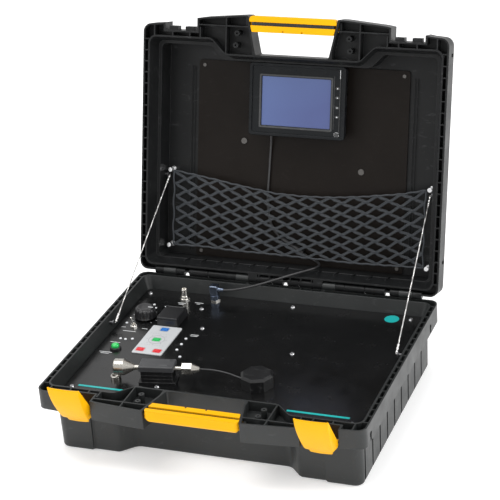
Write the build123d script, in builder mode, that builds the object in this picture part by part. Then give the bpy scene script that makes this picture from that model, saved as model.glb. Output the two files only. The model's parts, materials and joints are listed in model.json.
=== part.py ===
from build123d import *
import math
import os

os.makedirs("parts", exist_ok=True)

# ---------------------------------------------------------------------------
# Portable instrument case with a control panel, a small probe head on a lead
# and a video monitor in the lid.  Millimetres, +X right, +Y back, +Z up,
# origin at the centre of the underside.  The lid stands open at rest.
# ---------------------------------------------------------------------------

# ---- driving dimensions ----
WIDTH = 480.0          # over the rim flange
DEPTH = 382.0          # over the rim flange, without the front housings
BASE_H = 105.0         # base, floor to parting plane
LID_H = 62.0           # lid, parting plane to top
BAND = 29.0            # height of the flange band
INSET = 14.0           # body side inset below the band
SEAM = 0.3             # gap between the two rims when shut
HINGE_Y, HINGE_Z = 191.0, 111.0
OPEN_DEG = 105.5       # lid angle on its stays
LATCH_Y, LATCH_Z = -188.0, 81.0
LATCH_OPEN = 27.5      # latch angle at rest
LATCH_X = 178.0
LATCH_W = 50.0
PANEL_TOP = 85.0
PANEL_T = 3.0
LID_Z0 = BASE_H + SEAM
LID_TOP = LID_Z0 + LID_H
LINER_Z = LID_TOP - 3.0 - 2.6      # visible face of the liner, lid shut
HANDLE_W = 140.0
KNUCKLES = (-190.0, -70.0, 70.0, 190.0)

# ---- lid frame: its local coordinates are those of the shut case ----
phi = math.radians(OPEN_DEG)
LID = Plane(
    origin=(0,
            HINGE_Y - HINGE_Y * math.cos(phi) - HINGE_Z * math.sin(phi),
            HINGE_Z + HINGE_Y * math.sin(phi) - HINGE_Z * math.cos(phi)),
    x_dir=(1, 0, 0), z_dir=(0, math.sin(phi), math.cos(phi)))


def on_lid(plane):
    return Plane(LID.location * plane.location)


# ---- latch frame: local coordinates are those of the shut latch ----
th = math.radians(LATCH_OPEN)
LATCH = Plane(
    origin=(0,
            LATCH_Y - LATCH_Y * math.cos(th) + LATCH_Z * math.sin(th),
            LATCH_Z - LATCH_Y * math.sin(th) - LATCH_Z * math.cos(th)),
    x_dir=(1, 0, 0), z_dir=(0, -math.sin(th), math.cos(th)))


def on_latch(plane):
    return Plane(LATCH.location * plane.location)


def both(half):
    """Right-hand half outline, back centre to front centre, made whole."""
    return [p[:2] for p in half] + [(-x, y) for x, y, r in reversed(half) if x > 0.01]


def both_r(half):
    return [p[2] for p in half] + [r for x, y, r in reversed(half) if x > 0.01]


# outlines: x, y, corner radius (half, from the back round to the front)
BAND_OUT = [(240, 191, 13), (240, -191, 13), (212, -193, 30), (141, -205, 30), (79, -210.5, 4),
            (70.5, -210.5, 1.5), (57.5, -152, 3)]
CAV_TOP = [(229.5, 180, 11), (229.5, -172, 11), (128, -172, 13), (105, -149, 13)]
CAV_LOW = [(223, 173.5, 8), (223, -165.5, 8), (125.5, -165.5, 8), (102.5, -142.5, 14)]
BODY_OUT = [(226, 187, 14), (226, -168, 14), (172, -168, 1.0), (172, -164.5, 1.0), (134, -164.5, 12),
            (114, -143.5, 14)]
BODY_IN = [(218.5, 173, 8), (218.5, -161, 8), (136.5, -161, 10), (116.5, -140, 14)]
GROOVE_OUT = [(237.4, 188.4, 10), (237.4, -188.6, 10), (211.6, -190.6, 28), (140.6, -202.4, 28),
              (79, -207.9, 3), (73.2, -207.9, 1), (60.2, -149.2 - 3.4, 1)]
GROOVE_IN = [(232.1, 182.6, 13), (232.1, -174.6, 13), (129, -174.6, 13), (106, -151.6, 13)]

# ===========================================================================
# BASE
# ===========================================================================
with BuildPart() as base_shell:
    # lower body with draft
    with BuildSketch(Plane.XY):
        with BuildLine():
            FilletPolyline(*both(BODY_OUT), radius=both_r(BODY_OUT), close=True)
        make_face()
        offset(amount=-1.6, kind=Kind.INTERSECTION)
    extrude(amount=BASE_H - BAND + 2, taper=-1.15)
    fillet(base_shell.faces().sort_by(Axis.Z)[0].edges(), radius=4.0)
    # flange band with the housings either side of the handle
    with BuildSketch(Plane.XY.offset(BASE_H - BAND)):
        with BuildLine():
            FilletPolyline(*both(BAND_OUT), radius=both_r(BAND_OUT), close=True)
        make_face()
    extrude(amount=BAND)
    # flutes in the side and back walls
    for s in (-1, 1):
        with BuildSketch(Plane.XY.offset(-1)):
            with GridLocations(1, 36.0, 1, 9):
                with Locations((s * 225.0, -6.0)):
                    Rectangle(6.0, 5.0)
        extrude(amount=72, mode=Mode.SUBTRACT)
    with BuildSketch(Plane.XY.offset(-1)):
        with GridLocations(44.0, 1, 9, 1):
            with Locations((0, 187.5)):
                Rectangle(6.0, 5.0)
    extrude(amount=68, mode=Mode.SUBTRACT)
    # inner cavity: sloped upper wall, then a straight well under the panel
    with BuildSketch(Plane.XY.offset(BASE_H)):
        with BuildLine():
            FilletPolyline(*both(CAV_TOP), radius=both_r(CAV_TOP), close=True)
        make_face()
    with BuildSketch(Plane.XY.offset(PANEL_TOP - PANEL_T)):
        with BuildLine():
            FilletPolyline(*both(CAV_LOW), radius=both_r(CAV_LOW), close=True)
        make_face()
    loft(ruled=True, mode=Mode.SUBTRACT)
    with BuildSketch(Plane.XY.offset(3.2)):
        with BuildLine():
            FilletPolyline(*both(BODY_IN), radius=both_r(BODY_IN), close=True)
        make_face()
    extrude(amount=PANEL_TOP - PANEL_T - 3.2 + 0.5, mode=Mode.SUBTRACT)
    # open cells between the outer and inner skins of the rim
    with BuildSketch(Plane.XY.offset(BASE_H)) as rim_cells:
        with BuildLine():
            FilletPolyline(*both(GROOVE_OUT), radius=both_r(GROOVE_OUT), close=True)
        make_face()
        with BuildLine():
            FilletPolyline(*both(GROOVE_IN), radius=both_r(GROOVE_IN), close=True)
        make_face(mode=Mode.SUBTRACT)
        Rectangle(2 * 62.8, 500, mode=Mode.SUBTRACT)
        with Locations((-LATCH_X, -195), (LATCH_X, -195)):
            Rectangle(LATCH_W + 7.5, 29, mode=Mode.SUBTRACT)
        for s in (-1, 1):
            with GridLocations(1, 17.0, 1, 21):
                with Locations((s * 234.8, 2)):
                    Rectangle(8, 1.7, mode=Mode.SUBTRACT)
            with Locations((s * 105, -180)):
                Rectangle(1.8, 70, mode=Mode.SUBTRACT)
            with Locations((s * 110, -193.5)):
                Rectangle(84, 1.8, mode=Mode.SUBTRACT)
            with Locations((s * 147, -180)):
                Rectangle(1.8, 20, mode=Mode.SUBTRACT)
            with Locations((s * 222, -180), (s * 192, -178), (s * 164, -178)):
                Rectangle(1.8, 26, mode=Mode.SUBTRACT)
    extrude(amount=-15, mode=Mode.SUBTRACT)
    # the same cells along the back rim
    with BuildSketch(Plane.XY.offset(BASE_H)):
        with GridLocations(17.0, 1, 27, 1):
            with Locations((0, 185.5)):
                Rectangle(15.3, 5.4)
        with Locations([(k, 185.5) for k in KNUCKLES]):
            Rectangle(24, 8, mode=Mode.SUBTRACT)
    extrude(amount=-15, mode=Mode.SUBTRACT)
    # screw bosses in the front housings
    with BuildSketch(Plane.XY.offset(BASE_H - 15.5)):
        with Locations((-88, -183), (88, -183), (-90, -165), (90, -165)):
            Circle(4.2)
            Circle(1.5, mode=Mode.SUBTRACT)
    extrude(amount=14)
    # latch recesses
    with Locations((-LATCH_X, -198, 82), (LATCH_X, -198, 82)):
        Box(LATCH_W + 2, 30, 66, mode=Mode.SUBTRACT)
    # relief behind each latch, for its lower lip as it swings right open
    with Locations((-LATCH_X, -177.5, 77), (LATCH_X, -177.5, 77)):
        Box(LATCH_W + 2, 13, 14, mode=Mode.SUBTRACT)
    # latch pin holes through the cheeks
    for s in (-1, 1):
        with Locations((s * LATCH_X, LATCH_Y, LATCH_Z)):
            Cylinder(2.0, LATCH_W + 7.4, rotation=(0, 90, 0), mode=Mode.SUBTRACT)
    # slots for the handle's tongues
    with Locations((-68, -198.5, 95), (68, -198.5, 95)):
        Box(14, 14.4, 8.4, mode=Mode.SUBTRACT)
    # key-shaped recesses in the side bands
    for s in (-1, 1):
        for y in (-166, 141):
            with Locations((s * 240, y, 83)):
                Box(7, 5, 12, mode=Mode.SUBTRACT)
            with Locations((s * 240, y, 87)):
                Cylinder(4.2, 7, rotation=(0, 90, 0), mode=Mode.SUBTRACT)
    # hinge arms and knuckles
    for k in KNUCKLES:
        with Locations((k, 192.0, 96)):
            Box(20, 10, 30)
        with Locations((k, HINGE_Y, HINGE_Z)):
            Cylinder(6.0, 20, rotation=(0, 90, 0))
    for k in KNUCKLES:
        with Locations((k, HINGE_Y, HINGE_Z)):
            Cylinder(2.56, 24, rotation=(0, 90, 0), mode=Mode.SUBTRACT)
    # shallow recess under the floor
    with BuildSketch(Plane.XY):
        with Locations((-108, 15), (108, 15)):
            RectangleRounded(196, 270, 12)
    extrude(amount=1.2, mode=Mode.SUBTRACT)
base_shell.part.label = "base_shell"

# ===========================================================================
# LID (built in the lid frame)
# ===========================================================================
with BuildPart() as lid_shell:
    # body above the band, with draft
    with BuildSketch(on_lid(Plane.XY.offset(LID_Z0 + BAND - 2))):
        with BuildLine():
            FilletPolyline(*both(BODY_OUT), radius=both_r(BODY_OUT), close=True)
        make_face()
    extrude(amount=LID_H - BAND + 2, taper=1.15)
    with BuildSketch(on_lid(Plane.XY.offset(LID_Z0))):
        with BuildLine():
            FilletPolyline(*both(BAND_OUT), radius=both_r(BAND_OUT), close=True)
        make_face()
    extrude(amount=BAND)
    # flutes
    for s in (-1, 1):
        with BuildSketch(on_lid(Plane.XY.offset(LID_TOP + 1))):
            with GridLocations(1, 36.0, 1, 9):
                with Locations((s * 225.0, -6.0)):
                    Rectangle(6.0, 5.0)
        extrude(amount=-29, mode=Mode.SUBTRACT)
    # two shallow fields on the outside of the lid
    with BuildSketch(on_lid(Plane.XY.offset(LID_TOP))):
        with Locations((0, 20)):
            RectangleRounded(396, 262, 14)
            RectangleRounded(384, 250, 10, mode=Mode.SUBTRACT)
        with Locations((-96, 20), (96, 20)):
            RectangleRounded(170, 226, 10)
            RectangleRounded(160, 216, 8, mode=Mode.SUBTRACT)
    extrude(amount=-1.2, mode=Mode.SUBTRACT)
    # inner cavity
    with BuildSketch(on_lid(Plane.XY.offset(LID_Z0))):
        with BuildLine():
            FilletPolyline(*both(CAV_TOP), radius=both_r(CAV_TOP), close=True)
        make_face()
    with BuildSketch(on_lid(Plane.XY.offset(LID_Z0 + 23))):
        with BuildLine():
            FilletPolyline(*both(CAV_LOW), radius=both_r(CAV_LOW), close=True)
        make_face()
    loft(ruled=True, mode=Mode.SUBTRACT)
    with BuildSketch(on_lid(Plane.XY.offset(LID_Z0 + 22.5))):
        with BuildLine():
            FilletPolyline(*both(BODY_IN), radius=both_r(BODY_IN), close=True)
        make_face()
    extrude(amount=LID_H - 3.0 - 22.5, mode=Mode.SUBTRACT)
    # rim cells
    with BuildSketch(on_lid(Plane.XY.offset(LID_Z0))):
        with BuildLine():
            FilletPolyline(*both(GROOVE_OUT), radius=both_r(GROOVE_OUT), close=True)
        make_face()
        with BuildLine():
            FilletPolyline(*both(GROOVE_IN), radius=both_r(GROOVE_IN), close=True)
        make_face(mode=Mode.SUBTRACT)
        Rectangle(2 * 62.8, 500, mode=Mode.SUBTRACT)
        with Locations((-LATCH_X, -195), (LATCH_X, -195)):
            Rectangle(LATCH_W + 7.5, 29, mode=Mode.SUBTRACT)
        for s in (-1, 1):
            with GridLocations(1, 17.0, 1, 21):
                with Locations((s * 234.8, 2)):
                    Rectangle(8, 1.7, mode=Mode.SUBTRACT)
            with Locations((s * 105, -180)):
                Rectangle(1.8, 70, mode=Mode.SUBTRACT)
            with Locations((s * 110, -193.5)):
                Rectangle(84, 1.8, mode=Mode.SUBTRACT)
            with Locations((s * 147, -180)):
                Rectangle(1.8, 20, mode=Mode.SUBTRACT)
            with Locations((s * 222, -180), (s * 192, -178), (s * 164, -178)):
                Rectangle(1.8, 26, mode=Mode.SUBTRACT)
    extrude(amount=17, mode=Mode.SUBTRACT)
    with BuildSketch(on_lid(Plane.XY.offset(LID_Z0))):
        with GridLocations(17.0, 1, 27, 1):
            with Locations((0, 185.5)):
                Rectangle(15.3, 5.4)
        for k in KNUCKLES:
            with Locations((k - 17.5, 185.5), (k + 17.5, 185.5)):
                Rectangle(15, 8, mode=Mode.SUBTRACT)
    extrude(amount=17, mode=Mode.SUBTRACT)
    # screw bosses in the front housings
    with BuildSketch(on_lid(Plane.XY.offset(LID_Z0 + 1.5))):
        with Locations((-88, -183), (88, -183), (-90, -165), (90, -165)):
            Circle(4.2)
            Circle(1.5, mode=Mode.SUBTRACT)
    extrude(amount=16)
# latch recesses with two catch lugs each, handle slots and hinge knuckles
lid_cut = [Pos(s * LATCH_X, -198, 120) * Box(LATCH_W + 2, 30, 60) for s in (-1, 1)]
lid_cut += [Pos(s * 68, -198.5, 115) * Box(14, 14.4, 8.4) for s in (-1, 1)]
lid_cut += [Pos(k, HINGE_Y, HINGE_Z) * Rot(0, 90, 0) * Cylinder(8.2, 20.8) for k in KNUCKLES]
lid_cut += [Pos(s * 240, y, 127) * Box(7, 5, 12) for s in (-1, 1) for y in (-166, 141)]
lid_add = [Pos(s * LATCH_X + d, -185.6, 114.2) * Box(14, 7.4, 12.6) for s in (-1, 1) for d in (-13, 13)]
lid_add += [Pos(k + d, HINGE_Y, HINGE_Z) * Rot(0, 90, 0) * Cylinder(5.6, 14) for k in KNUCKLES for d in (-17.4, 17.4)]
lid_bore = [Pos(k, HINGE_Y, HINGE_Z) * Rot(0, 90, 0) * Cylinder(2.56, 52) for k in KNUCKLES]
lid_cut = [LID.location * c for c in lid_cut]
lid_add = [LID.location * c for c in lid_add]
lid_bore = [LID.location * c for c in lid_bore]
with lid_shell:
    add(lid_cut, mode=Mode.SUBTRACT)
    add(lid_add)
    add(lid_bore, mode=Mode.SUBTRACT)
lid_shell.part.label = "lid_shell"

# ===========================================================================
# HANDLE, HINGE PINS, LATCHES
# ===========================================================================
HANDLE = [(70.2, -210.5, 7), (58.6, -186.5, 3)]
with BuildPart() as base_handle_half:
    with BuildSketch(Plane.XY.offset(86)):
        with BuildLine():
            FilletPolyline(*[(70.2, -210.5), (64.2, -186.5), (-64.2, -186.5), (-70.2, -210.5)], radius=[6, 1, 1, 6], close=True)
        make_face()
    extrude(amount=BASE_H - 86)
    fillet(base_handle_half.faces().sort_by(Axis.Z)[0].edges().filter_by(Axis.X), radius=8)
    with Locations((0, -198.9, BASE_H - 7)):
        Box(150, 5.2, 14.2, mode=Mode.SUBTRACT)
    with Locations((-70, -198.5, 95), (70, -198.5, 95)):
        Box(9, 13.8, 7.8)
    with Locations((-15, -187.2, BASE_H), (15, -187.2, BASE_H)):
        Box(2.4, 3.4, 4.4, rotation=(45, 0, 0), mode=Mode.SUBTRACT)
base_handle_half.part.label = "base_handle_half"

with BuildPart() as lid_handle_half:
    with BuildSketch(on_lid(Plane.XY.offset(LID_Z0))):
        with BuildLine():
            FilletPolyline(*[(70.2, -210.5), (64.2, -186.5), (-64.2, -186.5), (-70.2, -210.5)], radius=[6, 1, 1, 6], close=True)
        make_face()
    extrude(amount=19)
    far = lid_handle_half.faces().sort_by(Axis(LID.origin, LID.z_dir))[-1]
    fillet(far.edges().filter_by(Axis.X), radius=8)
    add(LID.location * (Pos(0, -198.9, LID_Z0 + 7) * Box(150, 5.2, 14.2, mode=Mode.PRIVATE)), mode=Mode.SUBTRACT)
    add([LID.location * (Pos(s * 70, -198.5, 115) * Box(9, 13.8, 7.8, mode=Mode.PRIVATE)) for s in (-1, 1)])
    add([LID.location * (Pos(x, -187.2, LID_Z0) * Rot(45, 0, 0) * Box(2.4, 3.4, 4.4, mode=Mode.PRIVATE)) for x in (-15, 15)],
        mode=Mode.SUBTRACT)
lid_handle_half.part.label = "lid_handle_half"

with BuildPart() as hinge_pins:
    with Locations([(k, HINGE_Y, HINGE_Z) for k in KNUCKLES]):
        Cylinder(2.5, 48, rotation=(0, 90, 0))
hinge_pins.part.label = "hinge_pins"

with BuildPart() as latch_pins:
    with Locations((-LATCH_X, LATCH_Y, LATCH_Z), (LATCH_X, LATCH_Y, LATCH_Z)):
        Cylinder(1.96, LATCH_W + 7.0, rotation=(0, 90, 0))
latch_pins.part.label = "latch_pins"

# latch section in the shut latch's own YZ plane (y, z)
latch_parts = {}
for s, side in ((-1, "left"), (1, "right")):
    with BuildPart() as latch:
        with BuildSketch(on_latch(Plane(origin=(s * LATCH_X - LATCH_W / 2, 0, 0), x_dir=(0, 1, 0), z_dir=(1, 0, 0)))):
            with BuildLine():
                Spline((-196.5, 65.5), (-202.0, 74), (-205.0, 95), (-204.5, 120), (-199.5, 141.5))
                Line((-199.5, 141.5), (-196.4, 140.5))
                Spline((-196.4, 140.5), (-200.4, 120), (-200.8, 95), (-198.0, 76), (-193.2, 67.5))
                Line((-193.2, 67.5), (-196.5, 65.5))
            make_face()
        extrude(amount=LATCH_W)
        # bevelled lower corners leave a narrower lip
        add([LATCH.location * (Pos(s * LATCH_X + d * 24.5, -200, 66) * Rot(0, d * 28, 0) * Box(12, 20, 22, mode=Mode.PRIVATE))
             for d in (-1, 1)], mode=Mode.SUBTRACT)
        # webs, cross ribs, the hook over the lid's lugs, and the pivot barrel
        add([LATCH.location * (Pos(s * LATCH_X + d, -194.5, 81) * Box(3.0, 13, 12, mode=Mode.PRIVATE))
             for d in (-20.5, -7, 7, 20.5)])
        add([LATCH.location * (Pos(s * LATCH_X, -199.4, h) * Box(LATCH_W - 4, 4.4, 2.4, mode=Mode.PRIVATE)) for h in (100, 112)])
        add(LATCH.location * (Pos(s * LATCH_X, -193.4, 125.4) * Box(LATCH_W - 6, 14.0, 3.4, mode=Mode.PRIVATE)))
        add(LATCH.location * (Pos(s * LATCH_X, -187.6, 123.8) * Box(LATCH_W - 6, 2.4, 4.4, mode=Mode.PRIVATE)))
        add(LATCH.location * (Pos(s * LATCH_X, LATCH_Y, LATCH_Z) * Rot(0, 90, 0)
                              * Cylinder(4.3, LATCH_W - 1, mode=Mode.PRIVATE)))
        add(LATCH.location * (Pos(s * LATCH_X, LATCH_Y, LATCH_Z) * Rot(0, 90, 0)
                              * Cylinder(2.03, LATCH_W + 4, mode=Mode.PRIVATE)), mode=Mode.SUBTRACT)
    latch.part.label = "latch_" + side
    latch_parts["latch_" + side] = latch.part

# ===========================================================================
# CONTROL PANEL AND WHAT IT CARRIES
# ===========================================================================
PT = PANEL_TOP
BNC_OUT = (-152.5, 150.0)
BNC_IN = (-105.0, 157.0)
KNOB = (-189.0, 81.0)
SOCKET = (-145.0, 80.0)
BUTTON = (-194.5, -21.0)
TOGGLE = (-195.0, 48.0)
PAD = (-143.0, 14.9)
KEYS = {"blue": (-144.0, 47.5), "green": (-144.0, 15.5), "red_left": (-156.5, -17.0), "red_right": (-130.0, -17.0)}
PANEL_OUT = [(222.6, 173.0, 8), (222.6, -165.0, 8), (125.2, -165.0, 8), (102.2, -142.0, 14)]
SCREWS = [(-213, 157), (-210.4, -139.3), (-90.4, -112.6), (-115, 125), (-91, 66), (205, 160), (207, -145),
          (66, 21.5), (20, 160), (-60, -128)]
with BuildPart() as control_panel:
    with BuildSketch(Plane.XY.offset(PT - PANEL_T)):
        with BuildLine():
            FilletPolyline(*both(PANEL_OUT), radius=both_r(PANEL_OUT), close=True)
        make_face()
        with Locations(BNC_OUT, BNC_IN):
            Circle(5.0, mode=Mode.SUBTRACT)
        with Locations(KNOB):
            Circle(4.6, mode=Mode.SUBTRACT)
        with Locations(SOCKET):
            Rectangle(28, 34, mode=Mode.SUBTRACT)
        with Locations(BUTTON):
            Circle(6.6, mode=Mode.SUBTRACT)
        with Locations(TOGGLE):
            Circle(3.2, mode=Mode.SUBTRACT)
        with Locations(*KEYS.values()):
            SlotOverall(9.0, 6.6, mode=Mode.SUBTRACT)
        with Locations(*SCREWS):
            Circle(2.1, mode=Mode.SUBTRACT)
    extrude(amount=PANEL_T)
    chamfer(control_panel.faces().sort_by(Axis.Z)[-1].outer_wire().edges(), length=0.5)
control_panel.part.label = "control_panel"

with BuildPart() as panel_screws:
    with BuildSketch(Plane.XY.offset(PT)):
        with Locations(*SCREWS):
            Circle(3.6)
    extrude(amount=1.9, taper=25)
    with BuildSketch(Plane.XY.offset(PT)):
        with Locations(*SCREWS):
            Circle(1.95)
    extrude(amount=-9)
    with BuildSketch(Plane.XY.offset(PT + 1.9)):
        with Locations(*SCREWS):
            Rectangle(4.2, 0.8, rotation=30)
            Rectangle(0.8, 4.2, rotation=30)
    extrude(amount=-0.9, mode=Mode.SUBTRACT)
panel_screws.part.label = "panel_screws"

with BuildPart() as panel_trim:
    # two accent lines, a round inspection label and the index dots round the knob
    with BuildSketch(Plane.XY.offset(PT)):
        with Locations((-168.8, -133.2)):
            Rectangle(68, 4.2)
        with Locations((155.0, -131.8)):
            Rectangle(90, 4.2)
        with Locations((176.7, 156.0)):
            Circle(11)
        with Locations((-192.3, 122.5), (-171.5, 120.0), (-185.9, 112.5), (-160.8, 119.0)):
            Circle(2.0)
    extrude(amount=0.4)
panel_trim.part.label = "panel_trim"

with BuildPart() as keypad_plate:
    with BuildSketch(Plane.XY.offset(PT)):
        with Locations(PAD):
            RectangleRounded(47, 85.8, 2.5)
        with Locations(*KEYS.values()):
            SlotOverall(9.4, 7.0, mode=Mode.SUBTRACT)
    extrude(amount=1.6)
    chamfer(keypad_plate.faces().sort_by(Axis.Z)[-1].outer_wire().edges(), length=0.4)
keypad_plate.part.label = "keypad_plate"

key_parts = {}
for name, (x, y) in KEYS.items():
    with BuildPart() as key:
        with BuildSketch(Plane.XY.offset(PT - 2.2)):
            with Locations((x, y)):
                SlotOverall(8.4, 6.0)
        extrude(amount=4.6)
        fillet(key.faces().sort_by(Axis.Z)[-1].edges(), radius=0.5)
    key.part.label = "keypad_key_" + name
    key_parts["keypad_key_" + name] = key.part

with BuildPart() as push_button_bezel:
    with BuildSketch(Plane.XY.offset(PT)):
        with Locations(BUTTON):
            Circle(8.4)
            Circle(6.3, mode=Mode.SUBTRACT)
    extrude(amount=3.6)
    fillet(push_button_bezel.faces().sort_by(Axis.Z)[-1].outer_wire().edges(), radius=1.0)
    with BuildSketch(Plane.XY.offset(PT)):
        with Locations(BUTTON):
            Circle(6.55)
            Circle(6.3, mode=Mode.SUBTRACT)
    extrude(amount=-22)
push_button_bezel.part.label = "push_button_bezel"

with BuildPart() as push_button:
    with BuildSketch(Plane.XY.offset(PT - 8)):
        with Locations(BUTTON):
            Circle(6.0)
    extrude(amount=16.5)
    fillet(push_button.faces().sort_by(Axis.Z)[-1].edges(), radius=3.6)
push_button.part.label = "push_button"

with BuildPart() as toggle_body:
    with BuildSketch(Plane.XY.offset(PT)):
        with Locations(TOGGLE):
            RegularPolygon(5.4, 6)
    extrude(amount=2.2)
    with BuildSketch(Plane.XY.offset(PT)):
        with Locations(TOGGLE):
            Circle(3.0)
    extrude(amount=5.6)
    with BuildSketch(Plane.XY.offset(PT - PANEL_T)):
        with Locations(TOGGLE):
            Circle(3.0)
    extrude(amount=PANEL_T)
    with Locations((TOGGLE[0], TOGGLE[1], PT - PANEL_T - 5.5)):
        Box(13, 8, 11)
    with Locations((TOGGLE[0], TOGGLE[1], PT + 5.6)):
        Cone(0.9, 2.5, 7.2, align=(Align.CENTER, Align.CENTER, Align.MAX), mode=Mode.SUBTRACT)
toggle_body.part.label = "toggle_body"

tilt = 12.0
with BuildPart(Plane(origin=(TOGGLE[0], TOGGLE[1], PT), x_dir=(math.cos(math.radians(tilt)), 0, math.sin(math.radians(tilt))),
                     z_dir=(-math.sin(math.radians(tilt)), 0, math.cos(math.radians(tilt))))) as toggle_lever:
    Cone(0.7, 1.5, 15.0, align=(Align.CENTER, Align.CENTER, Align.MIN))
    Cylinder(0.5, 2.0, rotation=(90, 0, 0))        # cross pin it rocks on
    with Locations((0, 0, 15.0)):
        Sphere(1.7)
toggle_lever.part.label = "toggle_lever"

with BuildPart() as dimmer_knob:
    with BuildSketch(Plane.XY.offset(PT + 0.6)):
        with Locations(KNOB):
            Circle(17.0)
    extrude(amount=3.0)
    with BuildSketch(Plane.XY.offset(PT + 3.6)):
        with Locations(KNOB):
            Circle(16.0)
            with PolarLocations(17.6, 16):
                Circle(2.6, mode=Mode.SUBTRACT)
    extrude(amount=14.2, taper=7)
    with BuildSketch(Plane.XY.offset(PT + 17.8)):
        with Locations(KNOB):
            Circle(12.4)
    extrude(amount=1.2, taper=30)
    with BuildSketch(Plane.XY.offset(PT + 0.6)):
        with Locations(KNOB):
            Circle(3.0)
    extrude(amount=-8)
dimmer_knob.part.label = "dimmer_knob"

with BuildPart() as dimmer_control:
    with BuildSketch(Plane.XY.offset(PT)):
        with Locations(KNOB):
            Circle(4.5)
            Circle(3.06, mode=Mode.SUBTRACT)
    extrude(amount=-PANEL_T - 4)
    with BuildSketch(Plane.XY.offset(PT - PANEL_T - 4)):
        with Locations(KNOB):
            Circle(12)
    extrude(amount=-9)
    with BuildSketch(Plane.XY.offset(PT - PANEL_T - 4)):
        with Locations(KNOB):
            Circle(3.06)
    extrude(amount=-5.5, mode=Mode.SUBTRACT)
dimmer_control.part.label = "dimmer_control"

with BuildPart() as aux_socket:
    with BuildSketch(Plane.XY.offset(PT)):
        with Locations(SOCKET):
            RectangleRounded(33, 43, 2.5)
    extrude(amount=11.5)
    with BuildSketch(Plane.XY.offset(PT)):
        with Locations(SOCKET):
            Rectangle(27.6, 33.6)
    extrude(amount=-22)
    with Locations((SOCKET[0], SOCKET[1] + 17.4, PT + 13.6)):
        Cylinder(1.9, 31.0, rotation=(0, 90, 0), mode=Mode.SUBTRACT)
    with Locations((SOCKET[0] - 14.6, SOCKET[1] + 17.4, PT + 12.2), (SOCKET[0] + 14.6, SOCKET[1] + 17.4, PT + 12.2)):
        Box(2.4, 4.0, 5.2)
aux_socket.part.label = "aux_socket"

with BuildPart() as aux_socket_flap:
    with BuildSketch(Plane.XY.offset(PT + 12.0)):
        with Locations((SOCKET[0], SOCKET[1] - 3.6)):
            RectangleRounded(32.4, 34.5, 2.2)
    extrude(amount=2.8)
    chamfer(aux_socket_flap.faces().sort_by(Axis.Z)[-1].edges(), length=0.7)
    with Locations((SOCKET[0], SOCKET[1] + 15.4, PT + 13.4)):
        Box(26, 4.6, 2.4)
    with Locations((SOCKET[0], SOCKET[1] + 17.4, PT + 13.6)):
        Cylinder(1.5, 26.0, rotation=(0, 90, 0))
aux_socket_flap.part.label = "aux_socket_flap"

with BuildPart() as video_out_jack:
    with BuildSketch(Plane.XY.offset(PT)):
        with Locations(BNC_OUT):
            RegularPolygon(8.0, 6)
    extrude(amount=2.4)
    with BuildSketch(Plane.XY.offset(PT - 12)):
        with Locations(BNC_OUT):
            Circle(4.8)
    extrude(amount=30.0)
    with BuildSketch(Plane.XY.offset(PT + 2.4)):
        with Locations(BNC_OUT):
            Circle(6.2)
    extrude(amount=4.0)
    with Locations((BNC_OUT[0], BNC_OUT[1], PT + 14)):
        Cylinder(1.0, 12.4, rotation=(90, 0, 45))
    fillet(video_out_jack.faces().sort_by(Axis.Z)[-1].edges(), radius=0.6)
    with BuildSketch(Plane.XY.offset(PT + 18)):
        with Locations(BNC_OUT):
            Circle(3.4)
            Circle(1.4, mode=Mode.SUBTRACT)
    extrude(amount=-2.0, mode=Mode.SUBTRACT)
video_out_jack.part.label = "video_out_jack"

with BuildPart() as video_in_jack:
    with BuildSketch(Plane.XY.offset(PT)):
        with Locations(BNC_IN):
            RegularPolygon(8.0, 6)
    extrude(amount=2.4)
    with BuildSketch(Plane.XY.offset(PT - 12)):
        with Locations(BNC_IN):
            Circle(4.8)
    extrude(amount=20.0)
video_in_jack.part.label = "video_in_jack"

with BuildPart() as video_in_plug:
    with BuildSketch(Plane.XY.offset(PT + 2.7)):
        with Locations(BNC_IN):
            Circle(7.2)
            Circle(4.85, mode=Mode.SUBTRACT)
            with PolarLocations(7.5, 24):
                Circle(0.5, mode=Mode.SUBTRACT)
    extrude(amount=6.8)
    with BuildSketch(Plane.XY.offset(PT + 9.5)):
        with Locations(BNC_IN):
            Circle(6.0)
    extrude(amount=3.0)
    with BuildSketch(Plane.XY.offset(PT + 12.5)):
        with Locations(BNC_IN):
            RectangleRounded(13, 13, 2.5)
    extrude(amount=14.0)
    fillet(video_in_plug.faces().sort_by(Axis.Z)[-1].edges(), radius=2.0)
    with Locations((BNC_IN[0] + 6.0, BNC_IN[1], PT + 19.0)):
        Cone(3.9, 2.4, 9.0, rotation=(0, 90, 0), align=(Align.CENTER, Align.CENTER, Align.MIN))
video_in_plug.part.label = "video_in_plug"

LEDS = [(-103.0, 29.7), (-103.2, 12.3), (-103.4, -4.9), (-91.1, -23.7), (-210.3, 57.2), (-181.7, 11.9),
        (-199.5, 9.0), (-191.5, 8.6)]
with BuildPart() as status_leds:
    with BuildSketch(Plane.XY.offset(PT)):
        with Locations(*LEDS):
            Circle(2.2)
    extrude(amount=1.5)
    fillet(status_leds.faces().group_by(Axis.Z)[-1].edges(), radius=1.1)
status_leds.part.label = "status_leds"

# ---- probe head in its clip; local frame turned a little about the vertical ----
PROBE_Z = 105.0
PROBE = Plane(origin=(-95.0, -94.0, 0), x_dir=(math.cos(math.radians(9.5)), math.sin(math.radians(9.5)), 0), z_dir=(0, 0, 1))


def on_probe(plane):
    return Plane(PROBE.location * plane.location)


side_plane = on_probe(Plane(origin=(0, 0, PROBE_Z), x_dir=(1, 0, 0), z_dir=(0, -1, 0)))
with BuildPart() as probe_body:
    with BuildSketch(side_plane):
        with BuildLine():
            Polyline((-63, 0), (-63, 10.6), (-61.8, 11.8), (-48.5, 11.8), (-34.5, 4.4), (-33, 3.5), (36, 3.5), (36, 0), close=True)
        make_face()
    revolve(axis=Axis(side_plane.origin, side_plane.x_dir))
probe_body.part.label = "probe_body"

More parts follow.
